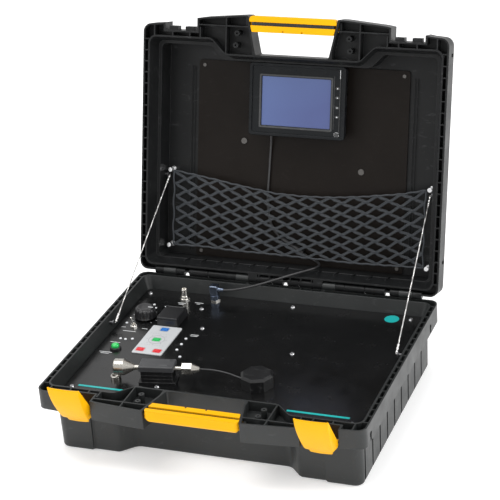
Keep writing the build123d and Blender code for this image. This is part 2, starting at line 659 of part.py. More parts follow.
with BuildPart() as probe_nut:
    with BuildSketch(Plane(origin=side_plane.origin + side_plane.x_dir * 36.0, x_dir=(0, 0, 1), z_dir=side_plane.x_dir)):
        RegularPolygon(9.0, 6)
    extrude(amount=14.0)
    with BuildSketch(Plane(origin=side_plane.origin + side_plane.x_dir * 50.0, x_dir=(0, 0, 1), z_dir=side_plane.x_dir)):
        Circle(7.4)
    extrude(amount=11.0, taper=20)
probe_nut.part.label = "probe_nut"

with BuildPart() as probe_clip_base:
    with BuildSketch(on_probe(Plane.XY.offset(PT))):
        RectangleRounded(54, 27, 2)
    extrude(amount=3)
    with BuildSketch(on_probe(Plane.XY.offset(PT + 3))):
        RectangleRounded(46, 24, 1.5)
        with Locations((0, -12), (0, 12)):
            with GridLocations(1, 1, 1, 1):
                Rectangle(46, 0.1, mode=Mode.SUBTRACT)
    extrude(amount=16.9)
    with Locations(PROBE.location * Location((0, -12.0, PT + 9)), PROBE.location * Location((0, -12.0, PT + 14.5)),
                   PROBE.location * Location((0, 12.0, PT + 9)), PROBE.location * Location((0, 12.0, PT + 14.5))):
        Box(60, 2.2, 1.8, mode=Mode.SUBTRACT)
    with Locations(PROBE.location * Location((0, 0, PROBE_Z), (0, 90, 0))):
        Cylinder(3.56, 60, mode=Mode.SUBTRACT)
probe_clip_base.part.label = "probe_clip_base"

with BuildPart() as probe_clip_cap:
    with BuildSketch(on_probe(Plane.XY.offset(PT + 20.2))):
        RectangleRounded(51, 26, 1.5)
    extrude(amount=8.0)
    chamfer(probe_clip_cap.faces().sort_by(Axis.Z)[-1].edges(), length=1.2)
    with Locations(PROBE.location * Location((0, 0, PROBE_Z), (0, 90, 0))):
        Cylinder(3.56, 60, mode=Mode.SUBTRACT)
    with Locations(PROBE.location * Location((-18, -8.4, PT + 24)), PROBE.location * Location((18, -8.4, PT + 24)),
                   PROBE.location * Location((-18, 8.4, PT + 24)), PROBE.location * Location((18, 8.4, PT + 24))):
        Cylinder(1.6, 12, mode=Mode.SUBTRACT)
probe_clip_cap.part.label = "probe_clip_cap"

with BuildPart() as clip_screws:
    with Locations(PROBE.location * Location((-18, -8.4, PT + 24.1)), PROBE.location * Location((18, -8.4, PT + 24.1)),
                   PROBE.location * Location((-18, 8.4, PT + 24.1)), PROBE.location * Location((18, 8.4, PT + 24.1))):
        Cylinder(1.5, 7.6)
clip_screws.part.label = "clip_screws"

PUCK = Plane(origin=(47.0, -74.0, 0), x_dir=(math.cos(math.radians(20)), math.sin(math.radians(20)), 0), z_dir=(0, 0, 1))
with BuildPart() as lead_gland:
    with BuildSketch(Plane(PUCK.location * Plane.XY.offset(PT).location)):
        RegularPolygon(22.5, 8, major_radius=False, rotation=22.5)
    extrude(amount=16.0)
    with BuildSketch(Plane(PUCK.location * Plane.XY.offset(PT + 16).location)):
        RegularPolygon(22.5, 8, major_radius=False, rotation=22.5)
    extrude(amount=3.0, taper=48)
lead_gland.part.label = "lead_gland"

with BuildPart() as probe_rest_cup:
    with BuildSketch(Plane.XY.offset(PT)):
        with Locations((-157.5, -103.5)):
            Circle(7.6)
    extrude(amount=6.0)
    fillet(probe_rest_cup.faces().sort_by(Axis.Z)[-1].edges(), radius=1.2)
    with Locations((-157.5, -103.5, PT + 6.0)):
        Sphere(5.0, mode=Mode.SUBTRACT)
probe_rest_cup.part.label = "probe_rest_cup"

# ---- what is under the panel ----
with BuildPart() as battery_pack:
    with Locations((60, 20, 3.2 + 33)):
        Box(151, 94, 66)
    fillet(battery_pack.edges().filter_by(Axis.Z), radius=3)
    with Locations((0, -12, 70.2), (0, 50, 70.2)):
        Box(7, 5, 2.6)
battery_pack.part.label = "battery_pack"

with BuildPart() as battery_strap:
    with BuildSketch(Plane(origin=(75, 0, 0), x_dir=(0, 1, 0), z_dir=(1, 0, 0))):
        with BuildLine():
            Polyline((-45, 3.2), (-28.6, 3.2), (-28.6, 70.8), (68.6, 70.8), (68.6, 3.2), (85, 3.2), (85, 5.2), (70.6, 5.2),
                     (70.6, 72.8), (-30.6, 72.8), (-30.6, 5.2), (-45, 5.2), close=True)
        make_face()
    extrude(amount=20)
battery_strap.part.label = "battery_strap"

with BuildPart() as control_board:
    with Locations((-130, 20, 44)):
        Box(110, 150, 1.6)
    with Locations((-130, 60, 47.8)):
        Box(22, 16, 6)
    with Locations((-110, 0, 50.3)):
        Box(14, 14, 11)
    with Locations((-160, -30, 47.3)):
        Box(10, 30, 5)
    with Locations((-179, -49, 44), (-81, -49, 44), (-179, 89, 44), (-81, 89, 44)):
        Cylinder(1.7, 4, mode=Mode.SUBTRACT)
control_board.part.label = "control_board"

with BuildPart() as board_standoffs:
    with Locations((-179, -49, 3.2), (-81, -49, 3.2), (-179, 89, 3.2), (-81, 89, 3.2)):
        Cylinder(3.2, 40.0, align=(Align.CENTER, Align.CENTER, Align.MIN))
        Cylinder(1.6, 43.0, align=(Align.CENTER, Align.CENTER, Align.MIN))
board_standoffs.part.label = "board_standoffs"

# ===========================================================================
# MONITOR, LINER AND NET (lid frame)
# ===========================================================================
MX, MY0, MY1 = 76.5, -139.0, -28.0      # monitor outline, half width and y limits
MZ = 137.3                              # screen side, lid shut
MYC = (MY0 + MY1) / 2
MH = MY1 - MY0
with BuildPart() as liner_panel:
    with BuildSketch(on_lid(Plane.XY.offset(LINER_Z))):
        with Locations((0, 18.5)):
            RectangleRounded(338, 309, 5)
    extrude(amount=2.6)
liner_panel.part.label = "liner_panel"

with BuildPart() as liner_screws:
    with BuildSketch(on_lid(Plane.XY.offset(LINER_Z))):
        with Locations((-92, -14), (98, 21)):
            Circle(5.2)
    extrude(amount=-1.4, taper=20)
    with BuildSketch(on_lid(Plane.XY.offset(LINER_Z))):
        with Locations((-160, -128), (160, -128), (-160, 165), (160, 165)):
            Circle(3.2)
    extrude(amount=-1.2, taper=20)
liner_screws.part.label = "liner_screws"

with BuildPart() as monitor_bracket:
    with BuildSketch(on_lid(Plane.XY.offset(LINER_Z))):
        with Locations((0, MYC)):
            RectangleRounded(90, 70, 4)
    extrude(amount=-3.0)
monitor_bracket.part.label = "monitor_bracket"

with BuildPart() as monitor_housing:
    with BuildSketch(on_lid(Plane.XY.offset(MZ + 5.0))):
        with Locations((0, MYC)):
            RectangleRounded(2 * MX - 3, MH - 3, 5)
    extrude(amount=LINER_Z - 3.0 - MZ - 5.0, taper=8)
monitor_housing.part.label = "monitor_housing"

SCR = (-2.0, MYC + 2.5, 110.0, 75.0)    # screen centre and size
COLX = MX - 12.5                         # button column
MBTN = {"menu": MY0 + 33.0, "up": MY0 + 47.0, "down": MY0 + 62.0, "mode": MY0 + 76.0}
with BuildPart() as monitor_bezel:
    with BuildSketch(on_lid(Plane.XY.offset(MZ + 5.0))):
        with Locations((0, MYC)):
            RectangleRounded(2 * MX, MH, 5)
    extrude(amount=-5.0)
    with BuildSketch(on_lid(Plane.XY.offset(MZ + 6.0))):
        with Locations(SCR[:2]):
            RectangleRounded(SCR[2], SCR[3], 1.5)
        with Locations(*[(COLX, y) for y in MBTN.values()]):
            SlotOverall(7.0, 4.6, mode=Mode.ADD)
        with Locations((COLX, MY1 - 8.0)):
            Circle(3.8)
    extrude(amount=-7.0, mode=Mode.SUBTRACT)
monitor_bezel.part.label = "monitor_bezel"

with BuildPart() as monitor_screen:
    with BuildSketch(on_lid(Plane.XY.offset(MZ + 4.9))):
        with Locations(SCR[:2]):
            Rectangle(SCR[2] - 0.4, SCR[3] - 0.4)
    extrude(amount=-3.4)
monitor_screen.part.label = "monitor_screen"

mbtn_parts = {}
for name, y in MBTN.items():
    with BuildPart() as mb:
        with BuildSketch(on_lid(Plane.XY.offset(MZ + 4.2))):
            with Locations((COLX, y)):
                SlotOverall(6.4, 4.0)
        extrude(amount=-5.0)
    mb.part.label = "monitor_button_" + name
    mbtn_parts["monitor_button_" + name] = mb.part
with BuildPart() as monitor_power_button:
    with BuildSketch(on_lid(Plane.XY.offset(MZ + 4.2))):
        with Locations((COLX, MY1 - 8.0)):
            Circle(3.4)
    extrude(amount=-5.0)
monitor_power_button.part.label = "monitor_power_button"

NET_Z = 147.0
NET = [(-205, 38), (-140, 47), (-95, 54), (-35, 62), (12, 63), (58, 61), (105, 56), (167, 47), (205, 38),
       (203, 95), (206, 157), (167, 158), (95, 160), (30, 159), (-35, 158), (-100, 158), (-150, 156), (-204, 157), (-201, 95)]
with BuildPart() as cargo_net:
    with BuildSketch(on_lid(Plane.XY.offset(NET_Z))):
        with BuildLine():
            Polyline(*NET, close=True)
        make_face()
    extrude(amount=2.6)
cargo_net.part.label = "cargo_net"

HOOKS = [(-209.5, 38), (-209.5, 158), (209.5, 38), (209.5, 158)]
with BuildPart() as net_hooks:
    with BuildSketch(on_lid(Plane.XY.offset(LID_TOP - 3.0))):
        with Locations(*HOOKS):
            Circle(4.0)
    extrude(amount=-2.0)
    with BuildSketch(on_lid(Plane.XY.offset(LID_TOP - 5.0))):
        with Locations(*HOOKS):
            Circle(1.8)
    extrude(amount=-13.6)
    with BuildSketch(on_lid(Plane.XY.offset(LID_TOP - 18.6))):
        with Locations(*HOOKS):
            Circle(3.4)
    extrude(amount=-1.8)
net_hooks.part.label = "net_hooks"

# stays: a bracket on each side wall of base and lid, and a wire between
ANCH_B = (35.0, 96.0)        # y, z on the base's inner side wall
ANCH_L = (46.0, 150.0)       # y, z inside the lid, lid shut


def from_lid(x, y, z):
    return tuple(LID.from_local_coords((x, y, z)))


with BuildPart() as stay_anchors_base:
    with Locations((-224.4, ANCH_B[0], ANCH_B[1]), (224.4, ANCH_B[0], ANCH_B[1])):
        Cylinder(2.2, 8.0, rotation=(0, 90, 0))
    with Locations((-221.0, ANCH_B[0], ANCH_B[1]), (221.0, ANCH_B[0], ANCH_B[1])):
        Cylinder(4.2, 1.4, rotation=(0, 90, 0))
stay_anchors_base.part.label = "stay_anchors_base"

with BuildPart() as stay_anchors_lid:
    add([LID.location * (Pos(s * 216.6, ANCH_L[0], ANCH_L[1]) * Rot(0, 90, 0) * Cylinder(2.2, 7.0, mode=Mode.PRIVATE))
         for s in (-1, 1)])
    add([LID.location * (Pos(s * 213.4, ANCH_L[0], ANCH_L[1]) * Rot(0, 90, 0) * Cylinder(4.2, 1.4, mode=Mode.PRIVATE))
         for s in (-1, 1)])
stay_anchors_lid.part.label = "stay_anchors_lid"

stay_parts = {}
for s, side in ((-1, "left"), (1, "right")):
    p0 = Vector(s * 218.2, ANCH_B[0], ANCH_B[1])
    p1 = Vector(*from_lid(s * 210.6, ANCH_L[0], ANCH_L[1]))
    d = (p1 - p0).normalized()
    with BuildPart() as wire:
        with BuildLine():
            Line(p0, p1)
        with BuildSketch(Plane(origin=p0, z_dir=d)):
            Circle(0.9)
        sweep()
        with BuildSketch(Plane(origin=p0 + d * 2, z_dir=d)):
            Circle(2.0)
        extrude(amount=15)
        with BuildSketch(Plane(origin=p1 - d * 2, z_dir=d)):
            Circle(2.0)
        extrude(amount=-15)
    print("stay", side, "length", round((p1 - p0).length, 1))
    wire.part.label = "stay_wire_" + side
    stay_parts["stay_wire_" + side] = wire.part

# ===========================================================================
# LEADS: straight runs joined by tangent arcs
# ===========================================================================


def bend_radii(pts):
    out = []
    for a, b, c in zip(pts, pts[1:], pts[2:]):
        u, v = Vector(*b) - Vector(*a), Vector(*c) - Vector(*b)
        half = math.radians(u.get_angle(v)) / 2
        out.append(0.45 * min(u.length, v.length) / math.tan(half))
    return out


def report_lead(name, pts, dia, volume):
    rad = bend_radii(pts)
    runs = [(Vector(*b) - Vector(*a)).length for a, b in zip(pts, pts[1:])]
    area = math.pi * dia * dia / 4
    print(name, "runs", [round(r, 1) for r in runs], "radii", [round(r, 1) for r in rad],
          "length by volume", round(volume / area, 1))


PROBE_END = PROBE.from_local_coords((60.0, 0, PROBE_Z))
PROBE_LEAD = [tuple(PROBE_END), (-24.5, -82.2, 105.0), (-8.0, -80.3, 103.7), (8.5, -80.2, 101.0), (19.0, -81.0, 98.4),
              (27.0, -81.9, 97.0)]
MONITOR_LEAD = [from_lid(*p) for p in [(-45.0, -32.5, 152.0), (-45.4, -22.0, 154.6), (-47.0, -8.0, 158.2), (-48.2, 13.0, 159.2),
                                       (-49.0, 36.0, 159.3), (-50.2, 58.0, 159.1), (-49.7, 80.0, 159.0), (-47.3, 101.0, 158.3),
                                       (-42.0, 115.0, 157.4), (-35.0, 124.5, 156.4), (-27.5, 130.9, 155.8),
                                       (-21.3, 134.5, 155.8)]]
CONN0 = Vector(*from_lid(-23.0, 133.5, 155.8))
CONN1 = Vector(*from_lid(11.0, 153.0, 155.8))
PATCH_LEAD = [from_lid(*p) for p in [(11.05, 153.03, 155.8), (20.5, 158.45, 155.8), (30.5, 162.2, 154.4), (39.0, 164.6, 149.0),
                                     (43.8, 166.0, 139.5), (44.0, 167.2, 128.0)]]
PATCH_LEAD += [(38.0, 203.0, 130.6), (27.0, 192.5, 130.2), (12.0, 184.0, 127.4), (-6.0, 176.5, 122.7), (-27.0, 170.0, 116.4),
               (-48.0, 164.3, 110.4), (-67.0, 160.0, 106.3), (-81.0, 157.5, 104.3), (-89.9, 157.0, 104.0)]
lead_parts = {}
for name, pts, dia in (("probe_lead", PROBE_LEAD, 2.6), ("monitor_lead", MONITOR_LEAD, 3.6), ("patch_lead", PATCH_LEAD, 3.6)):
    with BuildPart() as lead:
        with BuildLine() as path:
            FilletPolyline(*pts, radius=bend_radii(pts))
        with BuildSketch(Plane(origin=path.line @ 0, z_dir=path.line % 0)):
            Circle(dia / 2)
        sweep()
    report_lead(name, pts, dia, lead.part.volume)
    lead.part.label = name
    lead_parts[name] = lead.part

conn_dir = (CONN1 - CONN0).normalized()
with BuildPart() as inline_connector:
    with BuildSketch(Plane(origin=CONN0, z_dir=conn_dir)):
        Circle(4.6)
    extrude(amount=19)
    with BuildSketch(Plane(origin=CONN0 + conn_dir * 19, z_dir=conn_dir)):
        Circle(3.4)
    extrude(amount=2.5)
    with BuildSketch(Plane(origin=CONN0 + conn_dir * 21.5, z_dir=conn_dir)):
        Circle(5.2)
    extrude(amount=(CONN1 - CONN0).length - 21.5)
inline_connector.part.label = "inline_connector"

# ===========================================================================
# EXPORT: one STEP per piece
# ===========================================================================
pieces = [base_shell, base_handle_half, lid_shell, lid_handle_half, hinge_pins, latch_pins, control_panel, panel_screws,
          panel_trim, keypad_plate, push_button_bezel, push_button, toggle_body, toggle_lever, dimmer_knob, dimmer_control,
          aux_socket, aux_socket_flap, video_out_jack, video_in_jack, video_in_plug, status_leds, probe_body, probe_nut,
          probe_clip_base, probe_clip_cap, clip_screws, lead_gland, probe_rest_cup, battery_pack, battery_strap,
          control_board, board_standoffs, liner_panel, liner_screws, monitor_bracket, monitor_housing, monitor_bezel,
          monitor_screen, monitor_power_button, cargo_net, net_hooks, stay_anchors_base, stay_anchors_lid, inline_connector]
parts = {p.part.label: p.part for p in pieces}
for group in (latch_parts, key_parts, mbtn_parts, stay_parts, lead_parts):
    parts.update(group)
for name, part in parts.items():
    export_step(part, "parts/" + name + ".step")
print(len(parts), "pieces written")
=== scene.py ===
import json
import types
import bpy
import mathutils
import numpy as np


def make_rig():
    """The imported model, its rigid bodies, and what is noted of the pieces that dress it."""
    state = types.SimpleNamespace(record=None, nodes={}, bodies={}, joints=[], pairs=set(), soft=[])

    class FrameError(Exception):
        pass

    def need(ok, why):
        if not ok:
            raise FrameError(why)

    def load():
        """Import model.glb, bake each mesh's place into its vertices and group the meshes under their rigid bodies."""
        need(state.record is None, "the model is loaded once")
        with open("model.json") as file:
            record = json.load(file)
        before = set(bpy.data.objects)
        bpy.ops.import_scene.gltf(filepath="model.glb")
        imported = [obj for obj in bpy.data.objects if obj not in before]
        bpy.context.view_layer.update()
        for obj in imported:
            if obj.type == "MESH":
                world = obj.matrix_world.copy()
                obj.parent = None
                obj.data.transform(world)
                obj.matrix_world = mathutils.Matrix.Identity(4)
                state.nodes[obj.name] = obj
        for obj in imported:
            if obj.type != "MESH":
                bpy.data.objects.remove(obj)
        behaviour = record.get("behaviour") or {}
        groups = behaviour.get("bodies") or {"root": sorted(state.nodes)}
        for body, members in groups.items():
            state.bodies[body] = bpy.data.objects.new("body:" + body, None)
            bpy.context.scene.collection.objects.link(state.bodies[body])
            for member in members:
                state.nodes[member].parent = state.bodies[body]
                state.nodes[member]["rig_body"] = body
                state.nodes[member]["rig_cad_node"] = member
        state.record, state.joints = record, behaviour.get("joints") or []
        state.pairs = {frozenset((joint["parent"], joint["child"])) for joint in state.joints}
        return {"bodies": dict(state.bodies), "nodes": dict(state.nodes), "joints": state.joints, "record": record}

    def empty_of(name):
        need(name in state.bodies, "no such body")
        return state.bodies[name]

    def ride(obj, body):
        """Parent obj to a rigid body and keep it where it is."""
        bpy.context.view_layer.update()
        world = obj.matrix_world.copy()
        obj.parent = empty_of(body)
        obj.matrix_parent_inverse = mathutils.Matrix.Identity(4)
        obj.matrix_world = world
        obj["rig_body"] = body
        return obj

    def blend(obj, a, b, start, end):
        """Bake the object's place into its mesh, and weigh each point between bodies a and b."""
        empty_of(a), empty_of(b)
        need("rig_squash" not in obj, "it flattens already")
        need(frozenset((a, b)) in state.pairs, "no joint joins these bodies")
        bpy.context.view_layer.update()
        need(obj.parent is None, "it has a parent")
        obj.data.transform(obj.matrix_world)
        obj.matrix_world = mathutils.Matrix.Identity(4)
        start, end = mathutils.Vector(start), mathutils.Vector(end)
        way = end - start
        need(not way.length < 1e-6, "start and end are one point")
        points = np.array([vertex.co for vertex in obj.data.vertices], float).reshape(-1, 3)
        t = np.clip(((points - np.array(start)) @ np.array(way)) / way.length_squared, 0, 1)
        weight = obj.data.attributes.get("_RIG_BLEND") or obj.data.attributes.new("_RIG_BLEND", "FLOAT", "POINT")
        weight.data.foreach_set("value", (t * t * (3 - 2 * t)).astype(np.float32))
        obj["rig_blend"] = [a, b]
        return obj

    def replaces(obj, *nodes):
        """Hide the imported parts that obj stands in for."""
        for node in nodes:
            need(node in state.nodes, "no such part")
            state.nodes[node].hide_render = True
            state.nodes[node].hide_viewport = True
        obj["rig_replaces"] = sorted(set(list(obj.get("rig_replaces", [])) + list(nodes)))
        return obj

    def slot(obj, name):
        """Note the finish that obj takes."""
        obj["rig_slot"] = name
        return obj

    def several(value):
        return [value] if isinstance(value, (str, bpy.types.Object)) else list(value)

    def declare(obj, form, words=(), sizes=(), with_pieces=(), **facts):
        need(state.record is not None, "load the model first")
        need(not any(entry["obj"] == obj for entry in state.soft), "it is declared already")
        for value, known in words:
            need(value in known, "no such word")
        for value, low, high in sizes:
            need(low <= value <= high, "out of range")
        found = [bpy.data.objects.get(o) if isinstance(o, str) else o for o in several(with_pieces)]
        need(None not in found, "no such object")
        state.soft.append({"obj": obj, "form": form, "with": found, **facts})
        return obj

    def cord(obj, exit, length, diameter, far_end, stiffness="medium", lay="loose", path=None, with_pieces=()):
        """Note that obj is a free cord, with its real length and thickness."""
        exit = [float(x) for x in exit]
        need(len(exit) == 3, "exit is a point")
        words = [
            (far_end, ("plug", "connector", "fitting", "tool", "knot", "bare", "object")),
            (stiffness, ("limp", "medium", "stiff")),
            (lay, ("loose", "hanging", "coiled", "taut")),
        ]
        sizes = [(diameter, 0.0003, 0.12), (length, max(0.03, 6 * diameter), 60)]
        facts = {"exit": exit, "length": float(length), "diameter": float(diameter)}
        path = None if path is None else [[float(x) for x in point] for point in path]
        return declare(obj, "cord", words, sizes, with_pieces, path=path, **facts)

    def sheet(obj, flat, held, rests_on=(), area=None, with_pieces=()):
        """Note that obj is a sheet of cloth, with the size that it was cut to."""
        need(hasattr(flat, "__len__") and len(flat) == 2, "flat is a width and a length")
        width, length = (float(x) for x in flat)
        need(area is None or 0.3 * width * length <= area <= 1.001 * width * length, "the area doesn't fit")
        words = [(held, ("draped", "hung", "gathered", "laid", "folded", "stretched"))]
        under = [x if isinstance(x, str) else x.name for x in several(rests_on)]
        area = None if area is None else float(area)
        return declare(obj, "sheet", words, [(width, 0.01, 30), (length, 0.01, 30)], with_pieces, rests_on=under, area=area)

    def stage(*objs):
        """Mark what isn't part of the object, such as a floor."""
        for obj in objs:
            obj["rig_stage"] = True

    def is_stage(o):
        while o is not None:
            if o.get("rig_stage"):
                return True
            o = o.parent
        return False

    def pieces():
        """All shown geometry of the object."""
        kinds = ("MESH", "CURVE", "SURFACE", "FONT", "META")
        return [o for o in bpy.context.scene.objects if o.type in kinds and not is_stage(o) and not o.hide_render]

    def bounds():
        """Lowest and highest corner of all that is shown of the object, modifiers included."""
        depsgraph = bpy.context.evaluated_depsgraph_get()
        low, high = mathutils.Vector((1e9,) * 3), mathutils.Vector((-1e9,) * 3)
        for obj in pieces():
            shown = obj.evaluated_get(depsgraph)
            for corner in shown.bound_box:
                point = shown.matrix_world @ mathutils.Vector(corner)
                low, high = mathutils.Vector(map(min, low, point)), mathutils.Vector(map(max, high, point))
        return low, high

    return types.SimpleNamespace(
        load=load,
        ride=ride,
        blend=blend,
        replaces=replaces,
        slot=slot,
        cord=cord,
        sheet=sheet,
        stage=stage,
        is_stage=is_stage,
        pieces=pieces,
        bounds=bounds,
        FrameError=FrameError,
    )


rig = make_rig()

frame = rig.load()

import json
import math

import bmesh
import bpy
from mathutils import Matrix, Vector

MM = 0.001
NODES = frame["nodes"]
low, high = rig.bounds()
CAD_BOX = [[float(v) for v in low], [float(v) for v in high]]
D = math.radians
rand_state = [12345]


def rnd():
    """A repeatable number from 0 to 1."""
    rand_state[0] = (1103515245 * rand_state[0] + 12345) % 2147483648
    return rand_state[0] / 2147483648


# ---------------------------------------------------------------- frames, millimetres to metres
PHI = D(105.5)
CP, SP = math.cos(PHI), math.sin(PHI)


def lid(x, y, z):
    """A point given in the shut case's own millimetres, carried to the open lid."""
    return Vector((x, 191 + (y - 191) * CP + (z - 111) * SP, 111 - (y - 191) * SP + (z - 111) * CP)) * MM


def lid_dir(x, y, z):
    return Vector((x, y * CP + z * SP, -y * SP + z * CP))


TH = D(27.5)


def latch(x, y, z):
    dy, dz = y + 188, z - 81
    return Vector((x, -188 + dy * math.cos(TH) - dz * math.sin(TH), 81 + dy * math.sin(TH) + dz * math.cos(TH))) * MM


def mm(x, y, z):
    return Vector((x, y, z)) * MM


# ---------------------------------------------------------------- camera
cam_data = bpy.data.cameras.new("camera")
cam = bpy.data.objects.new("camera", cam_data)
bpy.context.scene.collection.objects.link(cam)
az, el, roll = D(21.8), D(25.43), D(-4.32)
fwd = Vector((-math.sin(az) * math.cos(el), math.cos(az) * math.cos(el), -math.sin(el)))
right = Vector((math.cos(az), math.sin(az), 0))
up = right.cross(fwd)
r2 = right * math.cos(roll) + up * math.sin(roll)
u2 = up * math.cos(roll) - right * math.sin(roll)
m = Matrix.Identity(4)
for i, v in enumerate((r2, u2, -fwd)):
    for k in range(3):
        m[k][i] = v[k]
m.translation = Vector((0.8782, -2.1424, 1.3545))
cam.matrix_world = m
cam_data.sensor_width = 36
cam_data.lens = 1823.3 * 36 / 500
cam_data.clip_start = 0.05
cam_data.clip_end = 60
bpy.context.scene.camera = cam


# ---------------------------------------------------------------- materials
class Mat:
    def __init__(self, name):
        self.m = bpy.data.materials.new(name)
        self.m.use_nodes = True
        self.nt = self.m.node_tree
        self.bsdf = self.nt.nodes["Principled BSDF"]
        self.co = self.nt.nodes.new("ShaderNodeTexCoord").outputs["Object"]

    def n(self, kind, **props):
        node = self.nt.nodes.new("ShaderNode" + kind)
        for k, v in props.items():
            setattr(node, k, v)
        return node

    def put(self, socket, value):
        if isinstance(value, bpy.types.NodeSocket):
            self.nt.links.new(value, socket)
        else:
            socket.default_value = value

    def math(self, op, a, b=0.0, c=0.0, clamp=False):
        node = self.n("Math", operation=op, use_clamp=clamp)
        for s, v in zip(node.inputs, (a, b, c)):
            self.put(s, v)
        return node.outputs[0]

    def noise(self, scale, detail=2.0, rough=0.5, stretch=None, distort=0.0):
        node = self.n("TexNoise")
        co = self.co
        if stretch:
            mp = self.n("Mapping")
            mp.inputs["Scale"].default_value = stretch
            self.put(mp.inputs["Vector"], co)
            co = mp.outputs[0]
        self.put(node.inputs["Vector"], co)
        node.inputs["Scale"].default_value = scale
        node.inputs["Detail"].default_value = detail
        node.inputs["Roughness"].default_value = rough
        node.inputs["Distortion"].default_value = distort
        return node.outputs["Fac"]

    def ramp(self, fac, lo, hi, a=0.0, b=1.0):
        node = self.n("MapRange", clamp=True)
        for s, v in zip(node.inputs, (fac, lo, hi, a, b)):
            self.put(s, v)
        return node.outputs[0]

    def mix(self, fac, a, b):
        node = self.n("Mix", data_type="RGBA")
        self.put(node.inputs[0], fac)
        self.put(node.inputs[6], a if isinstance(a, bpy.types.NodeSocket) else (*a, 1))
        self.put(node.inputs[7], b if isinstance(b, bpy.types.NodeSocket) else (*b, 1))
        return node.outputs[2]

    def bump(self, height, distance, strength=1.0, normal=None):
        node = self.n("Bump")
        node.inputs["Strength"].default_value = strength
        node.inputs["Distance"].default_value = distance
        self.put(node.inputs["Height"], height)
        if normal is not None:
            self.put(node.inputs["Normal"], normal)
        return node.outputs[0]

    def rounded(self, radius):
        node = self.n("Bevel", samples=4)
        node.inputs["Radius"].default_value = radius
        return node.outputs[0]

    def edges(self, radius, low=0.6, high=0.98):
        """1 on sharp outer edges, fading over radius."""
        geo = self.n("NewGeometry")
        bev = self.n("Bevel", samples=4)
        bev.inputs["Radius"].default_value = radius
        dot = self.n("VectorMath", operation="DOT_PRODUCT")
        self.put(dot.inputs[0], geo.outputs["Normal"])
        self.put(dot.inputs[1], bev.outputs[0])
        return self.ramp(dot.outputs["Value"], low, high, 1.0, 0.0)


def plastic(name, col, col2=None, rough=0.42, grain=900.0, depth=0.00006, edge=None, edge_r=0.0012, wear=0.35,
            bevel=0.0008, scratch=0.25, spec=0.5, coat=0.0, dust=0.0, blotch=9.0):
    m = Mat(name)
    col2 = col2 or tuple(c * 1.35 + 0.002 for c in col)
    edge = edge or tuple(min(1.0, c * 1.9 + 0.012) for c in col)
    blotches = m.ramp(m.noise(blotch, 4.0, 0.6), 0.3, 0.7)
    c = m.mix(blotches, col, col2)
    # hairline scuffs, as narrow peaks of a stretched noise
    sc = m.ramp(m.noise(60, 3.0, 0.65, (1.0, 6.0, 1.6), 0.6), 0.60, 0.72, 0.0, scratch)
    c = m.mix(sc, c, edge)
    if dust:
        spots = m.ramp(m.noise(520, 2.0, 0.5), 0.68, 0.76, 0.0, dust)
        c = m.mix(spots, c, (0.35, 0.34, 0.32))
    if wear:
        broken = m.ramp(m.noise(120, 3.0, 0.7), 0.35, 0.7)
        e = m.math("MULTIPLY", m.edges(edge_r), broken)
        c = m.mix(m.math("MULTIPLY", e, wear), c, edge)
    m.put(m.bsdf.inputs["Base Color"], c)
    r = m.math("ADD", m.ramp(m.noise(34, 4.0, 0.65), 0.3, 0.7, rough - 0.06, rough + 0.07), m.math("MULTIPLY", sc, 0.3))
    m.put(m.bsdf.inputs["Roughness"], r)
    m.bsdf.inputs["Specular IOR Level"].default_value = spec
    if coat:
        m.bsdf.inputs["Coat Weight"].default_value = coat
        m.bsdf.inputs["Coat Roughness"].default_value = 0.12
    normal = m.rounded(bevel) if bevel else None
    normal = m.bump(m.noise(grain, 2.0, 0.6), depth, 0.8, normal)
    normal = m.bump(m.noise(26, 2.0, 0.5), 0.0004, 0.25, normal)
    m.put(m.bsdf.inputs["Normal"], normal)
    return m


def metal(name, col, col2, rough=0.22, grain=(1, 1, 12), scale=180.0, depth=0.00003, bevel=0.0004, stain=0.15):
    m = Mat(name)
    c = m.mix(m.ramp(m.noise(40, 4.0, 0.6), 0.3, 0.7), col, col2)
    spots = m.ramp(m.noise(300, 3.0, 0.6), 0.62, 0.75, 0.0, stain)
    c = m.mix(spots, c, tuple(x * 0.45 for x in col))
    m.put(m.bsdf.inputs["Base Color"], c)
    m.bsdf.inputs["Metallic"].default_value = 1.0
    m.put(m.bsdf.inputs["Roughness"], m.ramp(m.noise(90, 4.0, 0.65), 0.3, 0.7, rough - 0.06, rough + 0.1))
    normal = m.rounded(bevel)
    normal = m.bump(m.noise(scale, 3.0, 0.6, grain), depth, 0.7, normal)
    m.put(m.bsdf.inputs["Normal"], normal)
    return m


case = plastic("case_moulded", (0.0115, 0.0128, 0.0128), (0.0175, 0.0192, 0.0192), rough=0.40, grain=1100, depth=0.00007,
               edge=(0.075, 0.077, 0.08), wear=0.45, dust=0.06, bevel=0.0010, spec=0.40)
# the lid is the same moulded plastic as the case, given a darker colour: painted shade for the inside of the open lid
lid_case_painted_shade = plastic("lid_moulded_painted_shade", (0.0060, 0.0063, 0.0066), (0.0090, 0.0094, 0.0098), spec=0.20, rough=0.40, grain=1100, depth=0.00007,
                   edge=(0.08, 0.082, 0.085), wear=0.55, dust=0.04, bevel=0.0010)
yellow = plastic("yellow_moulded", (0.72, 0.348, 0.0008), (0.78, 0.384, 0.0014), rough=0.36, grain=1300, depth=0.00004,
                 edge=(0.88, 0.50, 0.012), wear=0.25, scratch=0.06, bevel=0.0012, edge_r=0.0016, spec=0.13)
panel_black = plastic("panel_black", (0.0030, 0.0031, 0.0032), (0.0046, 0.0047, 0.0049), spec=0.52, rough=0.22, grain=1500,
                      depth=0.00002, edge=(0.12, 0.12, 0.12), wear=0.6, edge_r=0.0006, dust=0.02, scratch=0.02, bevel=0.0004)
teal = plastic("teal_print", (0.006, 0.30, 0.29), (0.008, 0.36, 0.35), rough=0.35, wear=0.0, dust=0.1, bevel=0.0)
keypad = plastic("keypad_membrane", (0.42, 0.43, 0.44), (0.50, 0.51, 0.52), rough=0.33, grain=1600, depth=0.00003,
                 edge=(0.7, 0.7, 0.7), wear=0.3, scratch=0.08, dust=0.0, bevel=0.0004)
